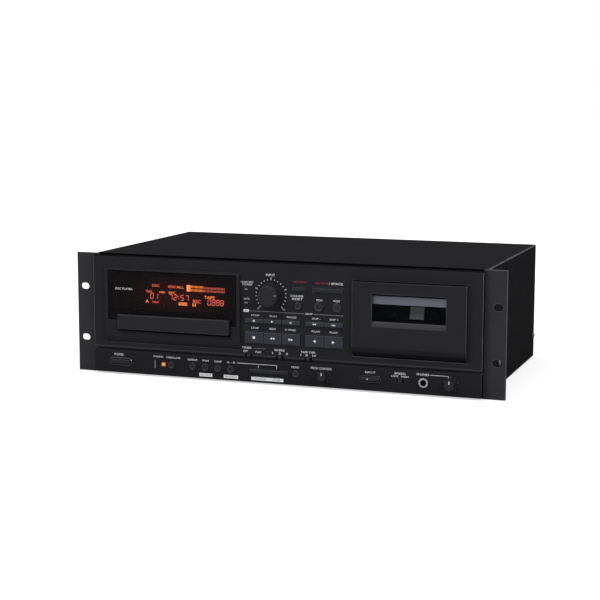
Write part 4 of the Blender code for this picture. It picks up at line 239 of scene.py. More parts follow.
M = {
    # painted highlight: the cover's near-white edge colour is a glint painted along its side folds
    "cover": dark("cover_paint", 0.0095, 0.99, 1.1, 0.78, 0.004, grain=1500, depth=0.08,
        mottle=0.18, patch=45, worn=(0.98, 0.98, 1), rub=1.3, fold=COVER_HIGHLIGHT_ZONE),
    # painted light: the rear panel is painted a lighter grey than the cover, for a side the lamps
    # barely reach
    "back": dark("rear_paint_lightened", 0.023, 1, 1.06, 0.5, 0.16, grain=1500, depth=0.05, mottle=0.1,
        worn=(0.3, 0.3, 0.31)),
    "strip": dark("strip_plastic", 0.0118, 0.95, 1.14, 0.6, 0.035, worn=(0.105, 0.105, 0.11)),
    "ear": dark("ear_paint", 0.0215, 0.95, 1.1, 0.6, 0.1, grain=1300, depth=0.04, mottle=0.1,
        worn=(0.21, 0.21, 0.22)),
    # painted highlight with some wear: the fascia's lighter edges, full at its two ends
    "fascia": dark("fascia_plastic", 0.015, 0.95, 1.14, 0.6, 0.035, worn=(0.28, 0.28, 0.29),
        fold=FASCIA_HIGHLIGHT_ZONE),
    "bezel": dark("bezel_plastic", 0.0138, 0.99, 1.16, 0.52, 0.06, worn=(0.15, 0.15, 0.155)),
    "surround": dark("surround_plastic", 0.0138, 0.99, 1.16, 0.52, 0.05, worn=(0.04, 0.04, 0.042)),
    # painted shade: a near-black for faces in the gap under the cover's front edge
    "gap_shade": dark("gap_painted_shade", 0.0055, 1, 1.08, 0.6, 0),
    # painted shade: darker copies of the door plastic for its rolled foot, darkest where it faces
    # down
    "roll": dark("door_roll_painted_shade", 0.01, 0.99, 1.16, 0.52, 0.05),
    "foot": dark("door_foot_painted_shade", 0.0052, 0.99, 1.16, 0.52, 0.03),
    "tray": dark("tray_front_plastic", 0.0125, 0.99, 1.16, 0.44, 0.12, worn=(0.085, 0.085, 0.09)),
    # painted light: a lighter grey for the fascia's faces over the ledge and the door's sill under
    # the window
    "painted_light": dark("painted_light_plastic", 0.03, 0.99, 1.14, 0.44, 0.14),
    # plastic of the inner parts, also painted shade on the cover's front wall
    "inner": dark("inner_plastic", 0.0055, 1, 1.1, 0.58, 0.06, grain=1800, mottle=0.1),
    "hub": dark("hub_plastic", 0.006, 1, 1.06, 0.5, 0.08, grain=1800, depth=0.01, mottle=0.1),
    "key": dark("key_plastic", 0.015, 1.05, 1.42, 0.46, 0.12, grain=2600, depth=0.02, mottle=0.05,
        worn=(0.06, 0.063, 0.072)),
    "pale_key": dark("pale_key_plastic", 0.0245, 1.08, 1.41, 0.46, 0.12, grain=2600, depth=0.02,
        mottle=0.05, worn=(0.085, 0.088, 0.1)),
    "knob": dark("knob_plastic", 0.0115, 1.02, 1.2, 0.38, 0.18, grain=2600, depth=0.02,
        mottle=0.05),
    "gloss": dark("gloss_plastic", 0.009, 1, 1.12, 0.14, 0.45, grain=2600, mottle=0.05,
        depth=0.005, coat=0.5),
    "rim": dark("button_rim", 0.0115, 1, 1.15, 0.3, 0.34, grain=2600, depth=0.01, mottle=0.1),
    "steel": surface("zinc_steel", (0.4, 0.405, 0.42), 0.36, metal=1, grain=500, mottle=0.12,
        patch=180, stretch=(1, 1, 14)),
    "band": surface("holder_steel", (0.25, 0.27, 0.33), 0.46, metal=0.45, grain=600, mottle=0.07,
        stretch=(0.05, 1, 6)),
    "leaf": surface("leaf_spring", (0.155, 0.155, 0.16), 0.4, metal=0.5, grain=700, mottle=0.08,
        stretch=(1, 1, 8)),
    "core": surface("core_steel", (0.23, 0.225, 0.22), 0.48, metal=0.9, depth=0.06, mottle=0.2,
        stretch=(0.02, 2, 0.02)),
    "aluminium": surface("bare_aluminium", (0.62, 0.62, 0.63), 0.38, metal=1, grain=700,
        mottle=0.06, stretch=(8, 1, 1)),
    "chrome": surface("bright_chrome", (0.62, 0.62, 0.64), 0.16, metal=1, depth=0.003, mottle=0.05,
        swing=0.05),
    "nut": surface("blackened_nickel", (0.16, 0.16, 0.165), 0.3, metal=1, grain=420, depth=0.05,
        mottle=0.3, patch=700),
    "knurl": surface("knurled_ring", (0.46, 0.46, 0.47), 0.34, metal=1, depth=0.08, mottle=0.6,
        patch=420),
    "gold": surface("gold_plate", (0.78, 0.56, 0.24), 0.22, metal=1, depth=0.003, mottle=0.06),
    "screw": surface("blackened_steel", (0.06, 0.06, 0.062), 0.34, metal=0.9, mottle=0.15,
        worn=(0.3, 0.3, 0.31)),
    "green": surface("solder_mask", (0.01, 0.075, 0.03), 0.38, grain=260, depth=0.02, mottle=0.35,
        patch=120),
    "can": surface("capacitor_sleeve", (0.012, 0.014, 0.03), 0.32, grain=500, stretch=(1, 1, 0.05)),
    "tape": surface("winding_tape", (0.52, 0.36, 0.06), 0.35, grain=700, depth=0.02, mottle=0.08,
        stretch=(1, 1, 12)),
    "white": surface("white_plastic", (0.56, 0.56, 0.54), 0.42, grain=1800, mottle=0.04),
    "red": surface("red_plastic", (0.42, 0.02, 0.02), 0.38, grain=1500, mottle=0.05),
    "ink": flat_ink("white_ink", (0.6, 0.61, 0.62)),
    "grey_ink": flat_ink("grey_ink", (0.13, 0.132, 0.136)),
    "red_ink": flat_ink("red_ink", (0.24, 0.035, 0.05), mottle=0.1),
    "dark_ink": flat_ink("dark_ink", (0.02, 0.02, 0.022), mottle=0.1, level=0.5),
    "rubber": surface("black_rubber", (0.014, 0.014, 0.014), 0.72, grain=1500, depth=0.04,
        level=0.3),
    # black of the socket's liner and the front board's face, and painted shade on gap walls, the
    # door's top, ear slot walls and under the tray
    "black_and_shade": surface("black_and_painted_shade", (0.004, 0.004, 0.004), 0.7, grain=1200, depth=0.02, level=0),
    "lens": surface("pickup_lens", (0.02, 0.03, 0.06), 0.08, grain=600, depth=0, coat=1),
    "lamp_off": surface("unlit_lens", (0.11, 0.115, 0.12), 0.3, grain=1200, mottle=0.06, coat=0.4),
    "smoke": surface("smoked_acrylic", (0.0056, 0.0049, 0.0051), 0.3, grain=300, depth=0,
        mottle=0.06, swing=0.03, alpha=0.88, level=0.03),
    "pane_back": surface("pane_back", (0.004, 0.004, 0.004), 0.3, grain=300, depth=0, alpha=0.02,
        level=0),
    "clear": surface("clear_acrylic", (0.006, 0.007, 0.009), 0.1, grain=300, depth=0, mottle=0.05,
        swing=0.03, alpha=0.18, level=0),
    # painted glow: the glass's red light, brightest in the middle, stands in for the segments' halo
    "glass": lit("display_glass", (0.17, 0.014, 0.018), (0.005, 0.002, 0.002), 1,
        spread=((0.58, 0.5, 0.46), (2.3, 0, 1.5))),
    "amber": lit("display_amber", (1, 0.25, 0.055), (1, 0.32, 0.09), 11),
    "orange": lit("display_orange", (0.9, 0.19, 0.035), (1, 0.27, 0.06), 11.5),
    "pink": lit("display_pink", (0.7, 0.105, 0.065), (0.95, 0.17, 0.11), 10),
    "lamp": lit("power_lamp", (1, 0.8, 0.4), (0.6, 0.11, 0.015), 0.8,
        spread=((0.5, 0.5, 0.5), (2.2, 0, 2))),
}

# Looks of pieces that stay flat shaded
FLAT_LOOKS = ("ink", "grey_ink", "red_ink", "dark_ink", "glass", "amber", "orange", "pink",
              "knurl")

# Looks of CAD nodes by how their names start or end, and their edge widths
LOOKS = {
    "chassis_pan": "steel", "rear_panel": "back", "top_cover": "cover",
    "front_fascia": "fascia", "rack_ear": "ear", "display_bezel": "surround",
    "display_window": "smoke", "front_board": "green", "status_lamp": "lamp",
    "headphone_jack": "nut", "circuit_board": "green", "power_transformer": "core",
    "tray_front": "tray", "loader_pinion": "white", "cassette_door": "bezel",
    "door_window": "clear", "cassette_holder": "band", "reel_hub": "hub",
    "capstan": "chrome", "head_bridge": "steel", "record_button": "key", "mute_button": "key",
}
END_LOOKS = {"key": "pale_key", "switch": "key", "rocker": "key", "button": "knob",
             "knob": "knob"}
EDGE_WIDTHS = {
    "top_cover": 0.45, "rear_panel": 0, "chassis_pan": 0, "front_board": 0, "circuit_board": 0,
    "loader_pinion": 0, "cd_tray": 0, "rack_ear": 0.4, "front_fascia": 0.35,
    "display_bezel": 0.3, "cassette_door": 0.3, "cassette_holder": 0.15, "loader_frame": 0,
    "tape_mechanism": 0, "power_transformer": 0.3,
}


def by_start(table, name, other):
    """The value of the row that a name starts with, or the other value."""
    return next((value for start, value in table.items() if name.startswith(start)), other)


def finish_node(name, node):
    """Give a CAD node its material and soften its edges with modifiers."""
    mesh = node.data
    mesh.materials.clear()
    plastic = END_LOOKS.get(name.split("_")[-1], "inner")
    mesh.materials.append(M[by_start(LOOKS, name, plastic)])
    if "custom_normal" in mesh.attributes:
        mesh.attributes.remove(mesh.attributes["custom_normal"])
    mesh.polygons.foreach_set("use_smooth", [True] * len(mesh.polygons))
    weld = node.modifiers.new("weld", "WELD")
    weld.merge_threshold = 0.005 * MM
    flats = node.modifiers.new("flats", "DECIMATE")
    flats.decimate_type = "DISSOLVE"
    flats.angle_limit = radians(0.6)
    flats.delimit = {"MATERIAL"}
    width = by_start(EDGE_WIDTHS, name, 0.12)
    if width:
        edges = node.modifiers.new("edges", "BEVEL")
        edges.width = width * MM
        edges.segments = 2
        edges.limit_method = "ANGLE"
        edges.angle_limit = SOFT_ANGLE
    shade = node.modifiers.new("normals", "WEIGHTED_NORMAL")
    shade.weight = 80


def paint(name, look, test):
    """Give another material to the faces of a CAD node that pass a test."""
    mesh = NODES[name].data
    mesh.materials.append(M[look])
    index = len(mesh.materials) - 1
    for face in mesh.polygons:
        if test(face.center / MM, face.normal):
            face.material_index = index


def paint_inside():
    """Parts of the main board, the transformer's winding and the front board's face."""
    board = low("circuit_board")
    tall, sink_back = board.z + 11, board.y + 20
    paint("circuit_board", "aluminium", lambda c, n: c.z > tall and (
        c.y < sink_back or n.z > FLAT))
    paint("circuit_board", "can", lambda c, n: c.z > tall and c.y > sink_back and n.z < FLAT)
    core, reach = middle("power_transformer"), half_size("power_transformer")
    paint("power_transformer", "tape", lambda c, n: abs(c.y - core.y) > reach.y / 2 + SEAT
          and c.z > core.z - reach.z + 6)
    paint("front_board", "black_and_shade", lambda c, n: n.y < -0.5)


def paint_case():
    """Strip and ledge of the fascia, and painted shade and painted light on the fascia, case, door
    and ears: dark gaps, side walls and slot walls, a darker door foot and lighter sills.
    """
    near, far = box("front_fascia")
    ledge = near.z + STRIP_HEIGHT
    # painted shade: the fascia's top and its upper rounding, under the cover's edge, are painted
    # near-black
    paint("front_fascia", "gap_shade", lambda c, n: n.z > 0.45 and c.z > far.z - 3)
    paint("front_fascia", "strip", lambda c, n: n.y < -0.1 and c.z < ledge)
    # painted light: the fascia's faces that turn down over the ledge are painted lighter against
    # their shade
    paint("front_fascia", "painted_light", lambda c, n: n.z < -0.15 and ledge < c.z < ledge + 5)
    # painted shade: the cover's front wall is painted dark
    paint("top_cover", "inner", lambda c, n: n.y < -0.5)
    paint("display_window", "pane_back", lambda c, n: n.y > 0.5)
    # painted shade: the right side walls of the fascia and the door are painted black
    for name in ("front_fascia", "cassette_door"):
        edge = high(name).x - 1
        paint(name, "black_and_shade", lambda c, n: n.x > FLAT and c.x > edge)
    half_way = middle("chassis_pan").y
    # painted shade: the chassis's front flange, seen in the gap under the cover, is painted
    # near-black
    paint("chassis_pan", "gap_shade", lambda c, n: n.y < -0.5 and c.y < half_way)
    # painted shade: the door's top face is painted black as a dark line over it
    top = high("cassette_door").z - 1
    paint("cassette_door", "black_and_shade", lambda c, n: n.z > FLAT and c.z > top)
    # painted shade: the door's rolled foot is painted darker where it turns down, darkest under it
    paint("cassette_door", "roll", lambda c, n: -0.4 < n.z < -0.1 and n.y < -0.05)
    paint("cassette_door", "foot", lambda c, n: n.z <= -0.4 and n.y < -0.05)
    # painted shade: the walls of the ears' slots are painted black
    for ear in ("rack_ear_left", "rack_ear_right"):
        near, far = box(ear)
        paint(ear, "black_and_shade", lambda c, n: abs(n.y) < 0.3 and near.x + SEAT < c.x < far.x - SEAT
              and near.z + 1 < c.z < far.z - 1 and c.y < near.y + 4)
    near, far = box("door_window")
    # painted highlight: the door's sloped sill under the window is painted lighter
    paint("cassette_door", "painted_light", lambda c, n: n.z > 0.12 and n.y < -0.3
          and near.z - 3 < c.z < near.z + 9 and near.x < c.x < far.x)


# Meshes
def new_object(name, data):
    """An object in the scene."""
    made = bpy.data.objects.new(name, data)
    SCENE.collection.objects.link(made)
    return made


def piece_from(name, work, look, body="chassis"):
    """Turn a bmesh into a piece that rides on a body."""
    work.transform(Matrix.Scale(MM, 4))
    bmesh.ops.recalc_face_normals(work, faces=work.faces)
    mesh = bpy.data.meshes.new(name)
    work.to_mesh(mesh)
    work.free()
    made = new_object(name, mesh)
    mesh.materials.append(M[look])
    if look not in FLAT_LOOKS:
        mesh.shade_smooth()
        mesh.set_sharp_from_angle(angle=SHARP_ANGLE)
    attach(made, body)


def piece(name, look, add, *values, body="chassis", **options):
    """A piece that is one shape, made by a function that adds to a bmesh."""
    work = bmesh.new()
    add(work, *values, **options)
    piece_from(name, work, look, body)


def pieces_from(looks, works):
    """Turn each bmesh into a fixed piece, with these names and looks."""
    for (name, look), work in zip(looks.items(), works):
        piece_from(name, work, look)


def join(work, part):
    """Add one bmesh to another and free it."""
    mesh = bpy.data.meshes.new("joined")
    part.to_mesh(mesh)
    part.free()
    work.from_mesh(mesh)
    bpy.data.meshes.remove(mesh)


def add_band(work, near, far):
    """Faces between two loops with the same count of vertices, or one with a single vertex."""
    count = max(len(near), len(far))
    for i in range(count):
        j = (i + 1) % count
        ring = [row[k % len(row)] for row, k in ((near, i), (near, j), (far, j), (far, i))]
        work.faces.new(dict.fromkeys(ring))


def add_skin(work, loops, closed=False):
    """A skin over loops of points, shut at both ends or into a ring."""
    rows = [[work.verts.new(point) for point in loop] for loop in loops]
    for near, far in zip(rows, rows[1:] + (rows[:1] if closed else [])):
        add_band(work, near, far)
    for end in (rows[0], rows[-1]):
        if len(end) > 1 and not closed:
            work.faces.new(end)


def add_slab(work, outline, front, back):
    """A flat outline of (x, z) points made thick along Y."""
    add_skin(work, [[(x, y, z) for x, z in outline] for y in (front, back)])


def add_print(work, outline, plane):
    """A printed outline on a plane that faces the front."""
    add_slab(work, outline, plane - SKIN - PRINT, plane - SKIN)


def box_outline(x, z, half_width, half_height):
    """Outline of an upright rectangle."""
    return [(x + side * half_width, z + level * half_height)
            for side, level in ((-1, -1), (1, -1), (1, 1), (-1, 1))]


def add_rect(work, x, z, width, height, plane):
    """A printed rectangle."""
    add_print(work, box_outline(x, z, width / 2, height / 2), plane)


def arc(x, z, radius, angles):
    """Points of a circle at some angles."""
    return [(x + radius * cos(angle), z + radius * sin(angle)) for angle in angles]


def circle(radius, steps):
    """Points of a circle round the origin."""
    return arc(0, 0, radius, [2 * pi * i / steps for i in range(steps)])


def rounded(x, z, half_width, half_height, radius, steps=6):
    """Outline of a rounded rectangle, as (x, z) points."""
    points = []
    for side, level, start in ((1, 1, 0), (-1, 1, 90), (-1, -1, 180), (1, -1, 270)):
        points += arc(x + side * (half_width - radius), z + level * (half_height - radius),
                      radius, [radians(start + 90 * i / steps) for i in range(steps + 1)])
    return points


def add_pill(work, spot, half_width, half_height, plane, profile, steps=6, closed=False):
    """A shape with round ends. The profile holds (reach past the sizes, rise)."""
    loops = []
    for reach, rise in profile:
        outline = rounded(spot.x, spot.z, half_width + reach, half_height + reach,
                          half_height + reach - SKIN, steps)
        loops.append([(x, plane - rise, z) for x, z in outline])
    add_skin(work, loops, closed)


def add_lathe(work, profile, place, steps=32, axis="Y"):
    """A turned shape. The profile holds (radius, distance along the axis)."""
    loops = []
    for radius, along in profile:
        ring = circle(radius, steps if radius > 0 else 1)
        points = [(x, along, y) if axis == "Y" else (x, y, along) for x, y in ring]
        loops.append([Vector(point) + Vector(place) for point in points])
    add_skin(work, loops, closed=profile[0][0] > 0)


def add_block(work, near, far, edge):
    """A box between two corners, with chamfered edges."""
    part = bmesh.new()
    near, far = Vector(near), Vector(far)
    bmesh.ops.create_cube(part, size=1, matrix=Matrix.Translation((near + far) / 2)
                          @ Matrix.Diagonal((*(far - near), 1)))
    bmesh.ops.bevel(part, geom=part.edges[:], offset=edge, segments=1, affect="EDGES",
                    profile=0.5)
    join(work, part)


def add_words(work, text, x, z, width, height, plane, rear=False):
    """Letters that fill a box round (x, z) on a plane, facing the front or the rear."""
    curve = bpy.data.curves.new("letters", "FONT")
    curve.body = text
    curve.size = 10 * MM
    curve.extrude = PRINT * MM / 2
    curve.resolution_u = 2
    drawn = new_object("letters", curve)
    bpy.context.view_layer.update()
    ready = bpy.context.evaluated_depsgraph_get()
    mesh = bpy.data.meshes.new_from_object(drawn.evaluated_get(ready))
    bpy.data.objects.remove(drawn, do_unlink=True)
    bpy.data.curves.remove(curve)
    xs = [v.co.x for v in mesh.vertices]
    ys = [v.co.y for v in mesh.vertices]
    wide, tall = max(xs) - min(xs), max(ys) - min(ys)
    centre = Matrix.Translation((-(min(xs) + max(xs)) / 2, -(min(ys) + max(ys)) / 2, 0))
    fit = Matrix.Diagonal((width / wide, height / tall, 1 / MM, 1))
    mesh.transform(Matrix.Rotation(radians(90), 4, "X") @ fit @ centre)
    off = SKIN + PRINT / 2
    if rear:
        mesh.transform(Matrix.Rotation(pi, 4, "Z"))
    mesh.transform(Matrix.Translation((x, plane + off if rear else plane - off, z)))
    work.from_mesh(mesh)
    bpy.data.meshes.remove(mesh)


# Printed legends of each node: words, offset across and up, width and height
FACE_WORDS = {
    "input_knob": [("INPUT", -0.6, 21.6, 9.9, 2.5), ("NOISE RED", -27.2, 12.9, 14.4, 1.9),
                   ("SYSTEM", -27.2, 10.3, 11, 1.9), ("AUTO", -27.6, -4.9, 6.6, 1.8)],
    "mute_button": [("/ SPACE", 8.1, 7.4, 15.4, 2.3)],
    "reset_button": [("COUNTER", -1.5, 10.1, 14.6, 2.1), ("RESET", -1, 7, 11.4, 2.1)],
    "monitor_button": [("MON", 0.4, 6.9, 6.2, 2.2)],
    "counter_button": [("MODE", -0.8, 6.9, 7, 2.1)],
    "timer_switch": [("TIMER", -2.2, 8.2, 11, 2.1), ("OFF", -3.6, 4.6, 5, 2.2),
                     ("PLAY", 11.2, 4.3, 6.6, 2)],
    "reverse_switch": [("REVERSE", 0, 7.7, 11.4, 2.1), ("1   2   3", 0.4, 4.3, 17.4, 2.2)],
    "tape_switch": [("TAPE TYPE", -0.2, 7.4, 16, 2.1),
                    ("I   II   IV", 0.2, 4.1, 17.4, 2.2)],
}
RED_WORDS = {"record_button": [("RECORD", 0.6, 7.5, 13.9, 1.9)],
             "mute_button": [("REC MUTE", -7.6, 7.2, 14.3, 1.9)]}
STRIP_WORDS = {
    "power_button": [("POWER", -2.1, 7.6, 11.2, 2.4)],
    "status_lamp": [("STANDBY", -6, 8.2, 12, 1.7), ("OPEN/CLOSE", 11.6, 8, 16.6, 1.9)],
    "repeat_button": [("REPEAT", -0.3, 7.2, 11.2, 1.9)],
    "program_button": [("PGM", 0.1, 7.2, 7, 1.9)],
    "display_button": [("DISP", -0.1, 7.2, 8.4, 1.9)],
    "search_button": [("A - B", 0, 7.2, 9.4, 1.9)],
    "memory_button": [("MEMO", -0.9, 6.8, 8.4, 1.9)],
    "pitch_knob": [("PITCH CONTROL", -2.6, 7.4, 23.3, 2.3)],
    "eject_button": [("EJECT", 0.2, 6.7, 11.1, 2.2)],
    "strip_switch": [("SPEED", -0.1, 7.8, 12, 2.1), ("LOW   HIGH", -0.1, 4.8, 18.2, 2)],
    "headphone_jack": [("PHONES", -0.9, 8.4, 13, 2.1)],
}
# Transport keys: row, height of its words over a key, their height, symbol size and the keys
# with their words, offset across and width
KEY_ROWS = (
    ("disc", 5.6, 1.8, 1.9, (
        ("stop", "STOP", 0.8, 9.4), ("play", "PLAY", 0.7, 8.6), ("pause", "PAUSE", 0.3, 10.6),
        ("skip_back", "SKIP -", 1.2, 9.6), ("skip_forward", "SKIP +", 0, 9.4))),
    ("tape", 10, 1.9, 2.7, (
        ("stop", "STOP", 0.4, 8.8), ("rewind", "REW", -0.2, 7.2), ("wind", "F. FWD", -0.8, 11.6),
        ("reverse_play", "PLAY", 1, 9.4), ("forward_play", "PLAY", 0, 9))),
)
# Dark words on a white field: node, words, offset across, width and height of the field
FILLED = [("program_button", "SINGLE", 0.1, 15.2), ("search_button", "INTRO", -0.2, 16.6),
          ("mode_rocker", "TRACK      TIME", -2.2, 36.5)]
FIELD_DROP, FIELD_HEIGHT = 8.4, 3.6


def ticks(work, node, first, step, count, inner, outer, width, plane):
    """Radial marks round a knob, from the first angle in degrees, clockwise."""
    centre = middle(node).xz
    for i in range(count):
        angle = radians(first - step * i)
        along = Vector((cos(angle), sin(angle)))
        side = along.orthogonal() * width / 2
        start, end = (centre + along * radius for radius in (inner, outer))
        add_print(work, [start - side, end - side, end + side, start + side], plane)


def legends(white, red, black):
    """Words on the face and the strip."""
    for work, table, plane in ((white, FACE_WORDS, FACE), (red, RED_WORDS, FACE),
                               (white, STRIP_WORDS, STRIP)):
        for node, rows in table.items():
            spot = middle(node)
            for text, across, up, width, height in rows:
                add_words(work, text, spot.x + across, spot.z + up, width, height, plane)
    for row, up, height, _, keys in KEY_ROWS:
        for kind, text, across, width in keys:
            spot = middle(f"{row}_{kind}_key")
            add_words(white, text, spot.x + across, spot.z + up, width, height, FACE)
    for node, text, across, width in FILLED:
        spot = middle(node)
        x, z = spot.x + across, spot.z - FIELD_DROP
        add_rect(white, x, z, width, FIELD_HEIGHT, STRIP)
        add_words(black, text, x, z, width * 0.8, FIELD_HEIGHT * 0.5, STRIP - SKIN - PRINT)


def scales(white, grey):
    """Ticks and numbers round the knobs."""
    first, sweep = 225, 270
    for count, outer, width in ((21, 17.4, 0.55), (5, 18.8, 0.8)):
        ticks(white, "input_knob", first, sweep / (count - 1), count, 16, outer, width, FACE)
    knob = middle("input_knob")
    ends = arc(knob.x, knob.z, 20.6, (radians(first), radians(first - sweep)))
    for (x, z), text in zip(ends, ("0", "10")):
        add_words(white, text, x, z, 1.1 * len(text), 1.6, FACE)
    for node, inner in (("pitch_knob", 6), ("phones_knob", 6.8)):
        ticks(grey, node, 230, 35, 9, inner, inner + 0.9, 0.6, STRIP)


def group_lines(white, grey, black):
    """Lines over the disc keys and beside the timer switch."""
    line = high("disc_stop_key").z + 6.9
    left = low("disc_stop_key").x - 2.4
    gap = middle("disc_skip_back_key").x - 12
    right = high("disc_skip_forward_key").x
    add_rect(white, left + 3, line, 6, 2.8, FACE)
    add_words(black, "DISC", left + 3, line, 4.6, 1.5, FACE - SKIN - PRINT)
    for start, end in ((left + 6, gap), (gap + 10.4, right)):
        add_rect(grey, (start + end) / 2, line, end - start, 0.6, FACE)
    add_words(white, "SKIP", gap + 5.2, line, 8, 1.8, FACE)
    timer = middle("timer_switch")
    add_rect(grey, timer.x + 12, timer.z + 8.2, 15, LINE, FACE)


def strip_lines(white, grey):
    """Lines of the strip: a bracket over the rocker, the phones line, a mark by the lamp."""
    rocker, search = middle("mode_rocker"), middle("search_button")
    level, drop = rocker.z + 7.2, rocker.z + 3.2
    first, last = rocker.x - 12.4, rocker.x + 8.5
    start = search.x + 7
    add_rect(white, (start + last) / 2, level, last - start, LINE, STRIP)
    for x in (first, last):
        add_rect(white, x, (level + drop) / 2, LINE, level - drop, STRIP)
    jack, volume = middle("headphone_jack"), middle("phones_knob")
    start, end = jack.x + 6.8, volume.x - 2.6
    add_rect(white, (start + end) / 2, jack.z + 8.3, end - start, LINE, STRIP)
    add_rect(white, end, jack.z + 7.4, LINE, 2.2, STRIP)
    lamp = middle("status_lamp")
    add_rect(grey, lamp.x - 10.1, lamp.z - 0.6, 1.3, 8.9, STRIP)


PRINTED = {"white_legends": "ink", "grey_lines": "grey_ink", "red_legends": "red_ink",
           "dark_legends": "dark_ink"}


def printed():
    """Everything that is printed on the face and the strip."""
    works = [bmesh.new() for _ in PRINTED]
    white, grey, red, black = works
    legends(white, red, black)
    scales(white, grey)
    group_lines(white, grey, black)
    strip_lines(white, grey)
    pieces_from(PRINTED, works)


def arrow(x, z, size, point):
    """Outline of an arrow head that points right (1) or left (-1)."""
    back, half = x - point * size * 0.5, size * 0.6
    return [(back, z - half), (x + point * size * 0.55, z), (back, z + half)]


def symbol(kind, x, z, size):
    """Outlines of a transport symbol."""
    half = size / 2
    if kind == "stop":
        return [box_outline(x, z, half, half)]
    if kind.endswith("play"):
        return [arrow(x, z, size, -1 if kind == "reverse_play" else 1)]
    if kind == "pause":
        return [box_outline(x + side * half * 0.6, z, half * 0.3, half) for side in (-1, 1)]
    point = -1 if kind in ("rewind", "skip_back") else 1
    shapes = [arrow(x + step * half * 0.95, z, size * 0.85, point) for step in (-1, 1)]
    if kind.startswith("skip"):
        shapes.append(box_outline(x + point * half * 2.2, z, half * 0.16, half))
    return shapes


def key_symbols():
    """Transport symbols, each printed on its own key."""
    for row, _, _, size, keys in KEY_ROWS:
        for kind, *_ in keys:
            node = f"{row}_{kind}_key"
            spot = nose(node)
            work = bmesh.new()
            for shape in symbol(kind, spot.x, spot.z, size):
                add_print(work, shape, spot.y)
            piece_from(f"{node}_symbol", work, "ink", node)


# Display behind the smoked window
SEGMENTS = {"0": "abcdef", "1": "bc", "2": "abged", "5": "afgcd", "7": "abc", "8": "abcdefg"}
# Bars of a digit: start and end across, in widths, and up, in half heights
BARS = {"a": (0, 2, 1, 2), "b": (1, 1, 1, 2), "c": (1, 0, 1, 1), "d": (0, 0, 1, 0),
        "e": (0, 0, 0, 1), "f": (0, 1, 0, 2), "g": (0, 1, 1, 1)}
# Words: look, text, left, right, bottom and top, from the window's lower left corner
DISPLAY_WORDS = [
    ("pink", "DISC", 52.4, 61.1, 38.2, 41.1), ("pink", "REPEAT", 71.2, 80.5, 37.7, 40.4),
    ("orange", "ALL", 81.1, 89.8, 37.7, 40.3), ("pink", "TRACK", 44.9, 52.4, 31.4, 34.4),
    ("orange", "MIN", 61, 67.4, 31.4, 33.7), ("orange", "SEC", 71.7, 79.8, 31.2, 33.8),
    ("orange", "A", 44, 48, 20.3, 23.6), ("pink", "PGM", 52.6, 59.4, 20.1, 22.5),
    ("pink", "REC", 100.4, 109.8, 22.5, 26.3), ("amber", "II", 100, 103.4, 18.9, 22.1),
    ("orange", "TAPE", 113.7, 125.9, 27.8, 31),
]
# Digits: digits, left, pitch, width, bottom and height
DISPLAY_DIGITS = [
    ("01", 49.9, 5.2, 3.3, 24.9, 6), ("72", 72.2, 5.6, 3.5, 24.9, 5.4),
    ("57", 85.8, 5.6, 3.5, 24.9, 5.4), ("08", 117.6, 4.9, 3.3, 21.3, 5.7),
    ("88", 127.4, 4.9, 3.3, 21.3, 5.7),
]
# Rows of cells: look, left, right, bottom, top, count and filled share
DISPLAY_CELLS = [
    ("amber", 93, 97.8, 34.9, 41.9, 2, 0.86), ("orange", 98.2, 113, 38.8, 41.3, 10, 0.42),
    ("orange", 98.2, 113, 35.2, 37.7, 10, 0.42), ("pink", 113.2, 137.6, 38.2, 40.4, 15, 0.32),
    ("pink", 113.2, 137.6, 35.1, 37.2, 15, 0.32), ("amber", 83.4, 93.6, 19.5, 20.5, 1, 1),
    ("orange", 83.4, 93.6, 21.3, 22.5, 9, 0.86), ("pink", 83, 83.7, 26.2, 27, 1, 1),
    ("pink", 83, 83.7, 28.6, 29.4, 1, 1),
]
DIGIT_LEAN = 0.1
DIGIT_STROKE = 0.1              # half the width of a bar, as a share of the digit's width


def add_digit(work, digit, x, z, width, height, plane):
    """A seven segment digit with its lower left corner at (x, z)."""
    half = width * DIGIT_STROKE
    for letter in SEGMENTS[digit]:
        x0, z0, x1, z1 = BARS[letter]
        start, end = (Vector((a * width, b * height / 2)) for a, b in ((x0, z0), (x1, z1)))
        along = (end - start).normalized() * half
        side = along.orthogonal()
        start, end = start + along / 2, end - along / 2
        shape = [start, start + along + side, end - along + side, end, end - along - side,
                 start + along - side]
        add_print(work, [(x + p.x + DIGIT_LEAN * p.y, z + p.y) for p in shape], plane)


def display():
    """Dark glass with a painted red glow in its middle, lit digits, words and meter, and the legend
    on the window.
    """
    near, far = box("display_window")
    front = far.y + 0.25
    inset = 5.5
    piece("display_glass", "glass", add_block,
          (near.x + inset, front, high("tray_front").z + 6.2),
          (far.x - inset, low("front_board").y + SEAT, far.z - inset), 0.1)
    works = {look: bmesh.new() for look in ("amber", "orange", "pink")}
    for look, text, left, right, bottom, top in DISPLAY_WORDS:
        add_words(works[look], text, near.x + (left + right) / 2,
                  near.z + (bottom + top) / 2, right - left, top - bottom, front)
    for digits, left, pitch, width, bottom, height in DISPLAY_DIGITS:
        for i, digit in enumerate(digits):
            add_digit(works["pink"], digit, near.x + left + i * pitch, near.z + bottom, width,
                      height, front)
    for look, left, right, bottom, top, count, share in DISPLAY_CELLS:
        pitch = (right - left) / count
        for i in range(count):
            add_rect(works[look], near.x + left + (i + 0.5) * pitch,
                     near.z + (bottom + top) / 2, pitch * share, top - bottom, front)
    for look, work in works.items():
        piece_from(f"display_{look}_segments", work, look)
    piece("window_legend", "ink", add_words, "DISC PLAYER", near.x + 19.2, near.z + 34.6, 20.4,
          2.2, near.y)


# Small parts of the front
ROUND_BUTTONS = ("reset", "monitor", "counter", "tray", "repeat", "program", "display",
                 "search", "memory")
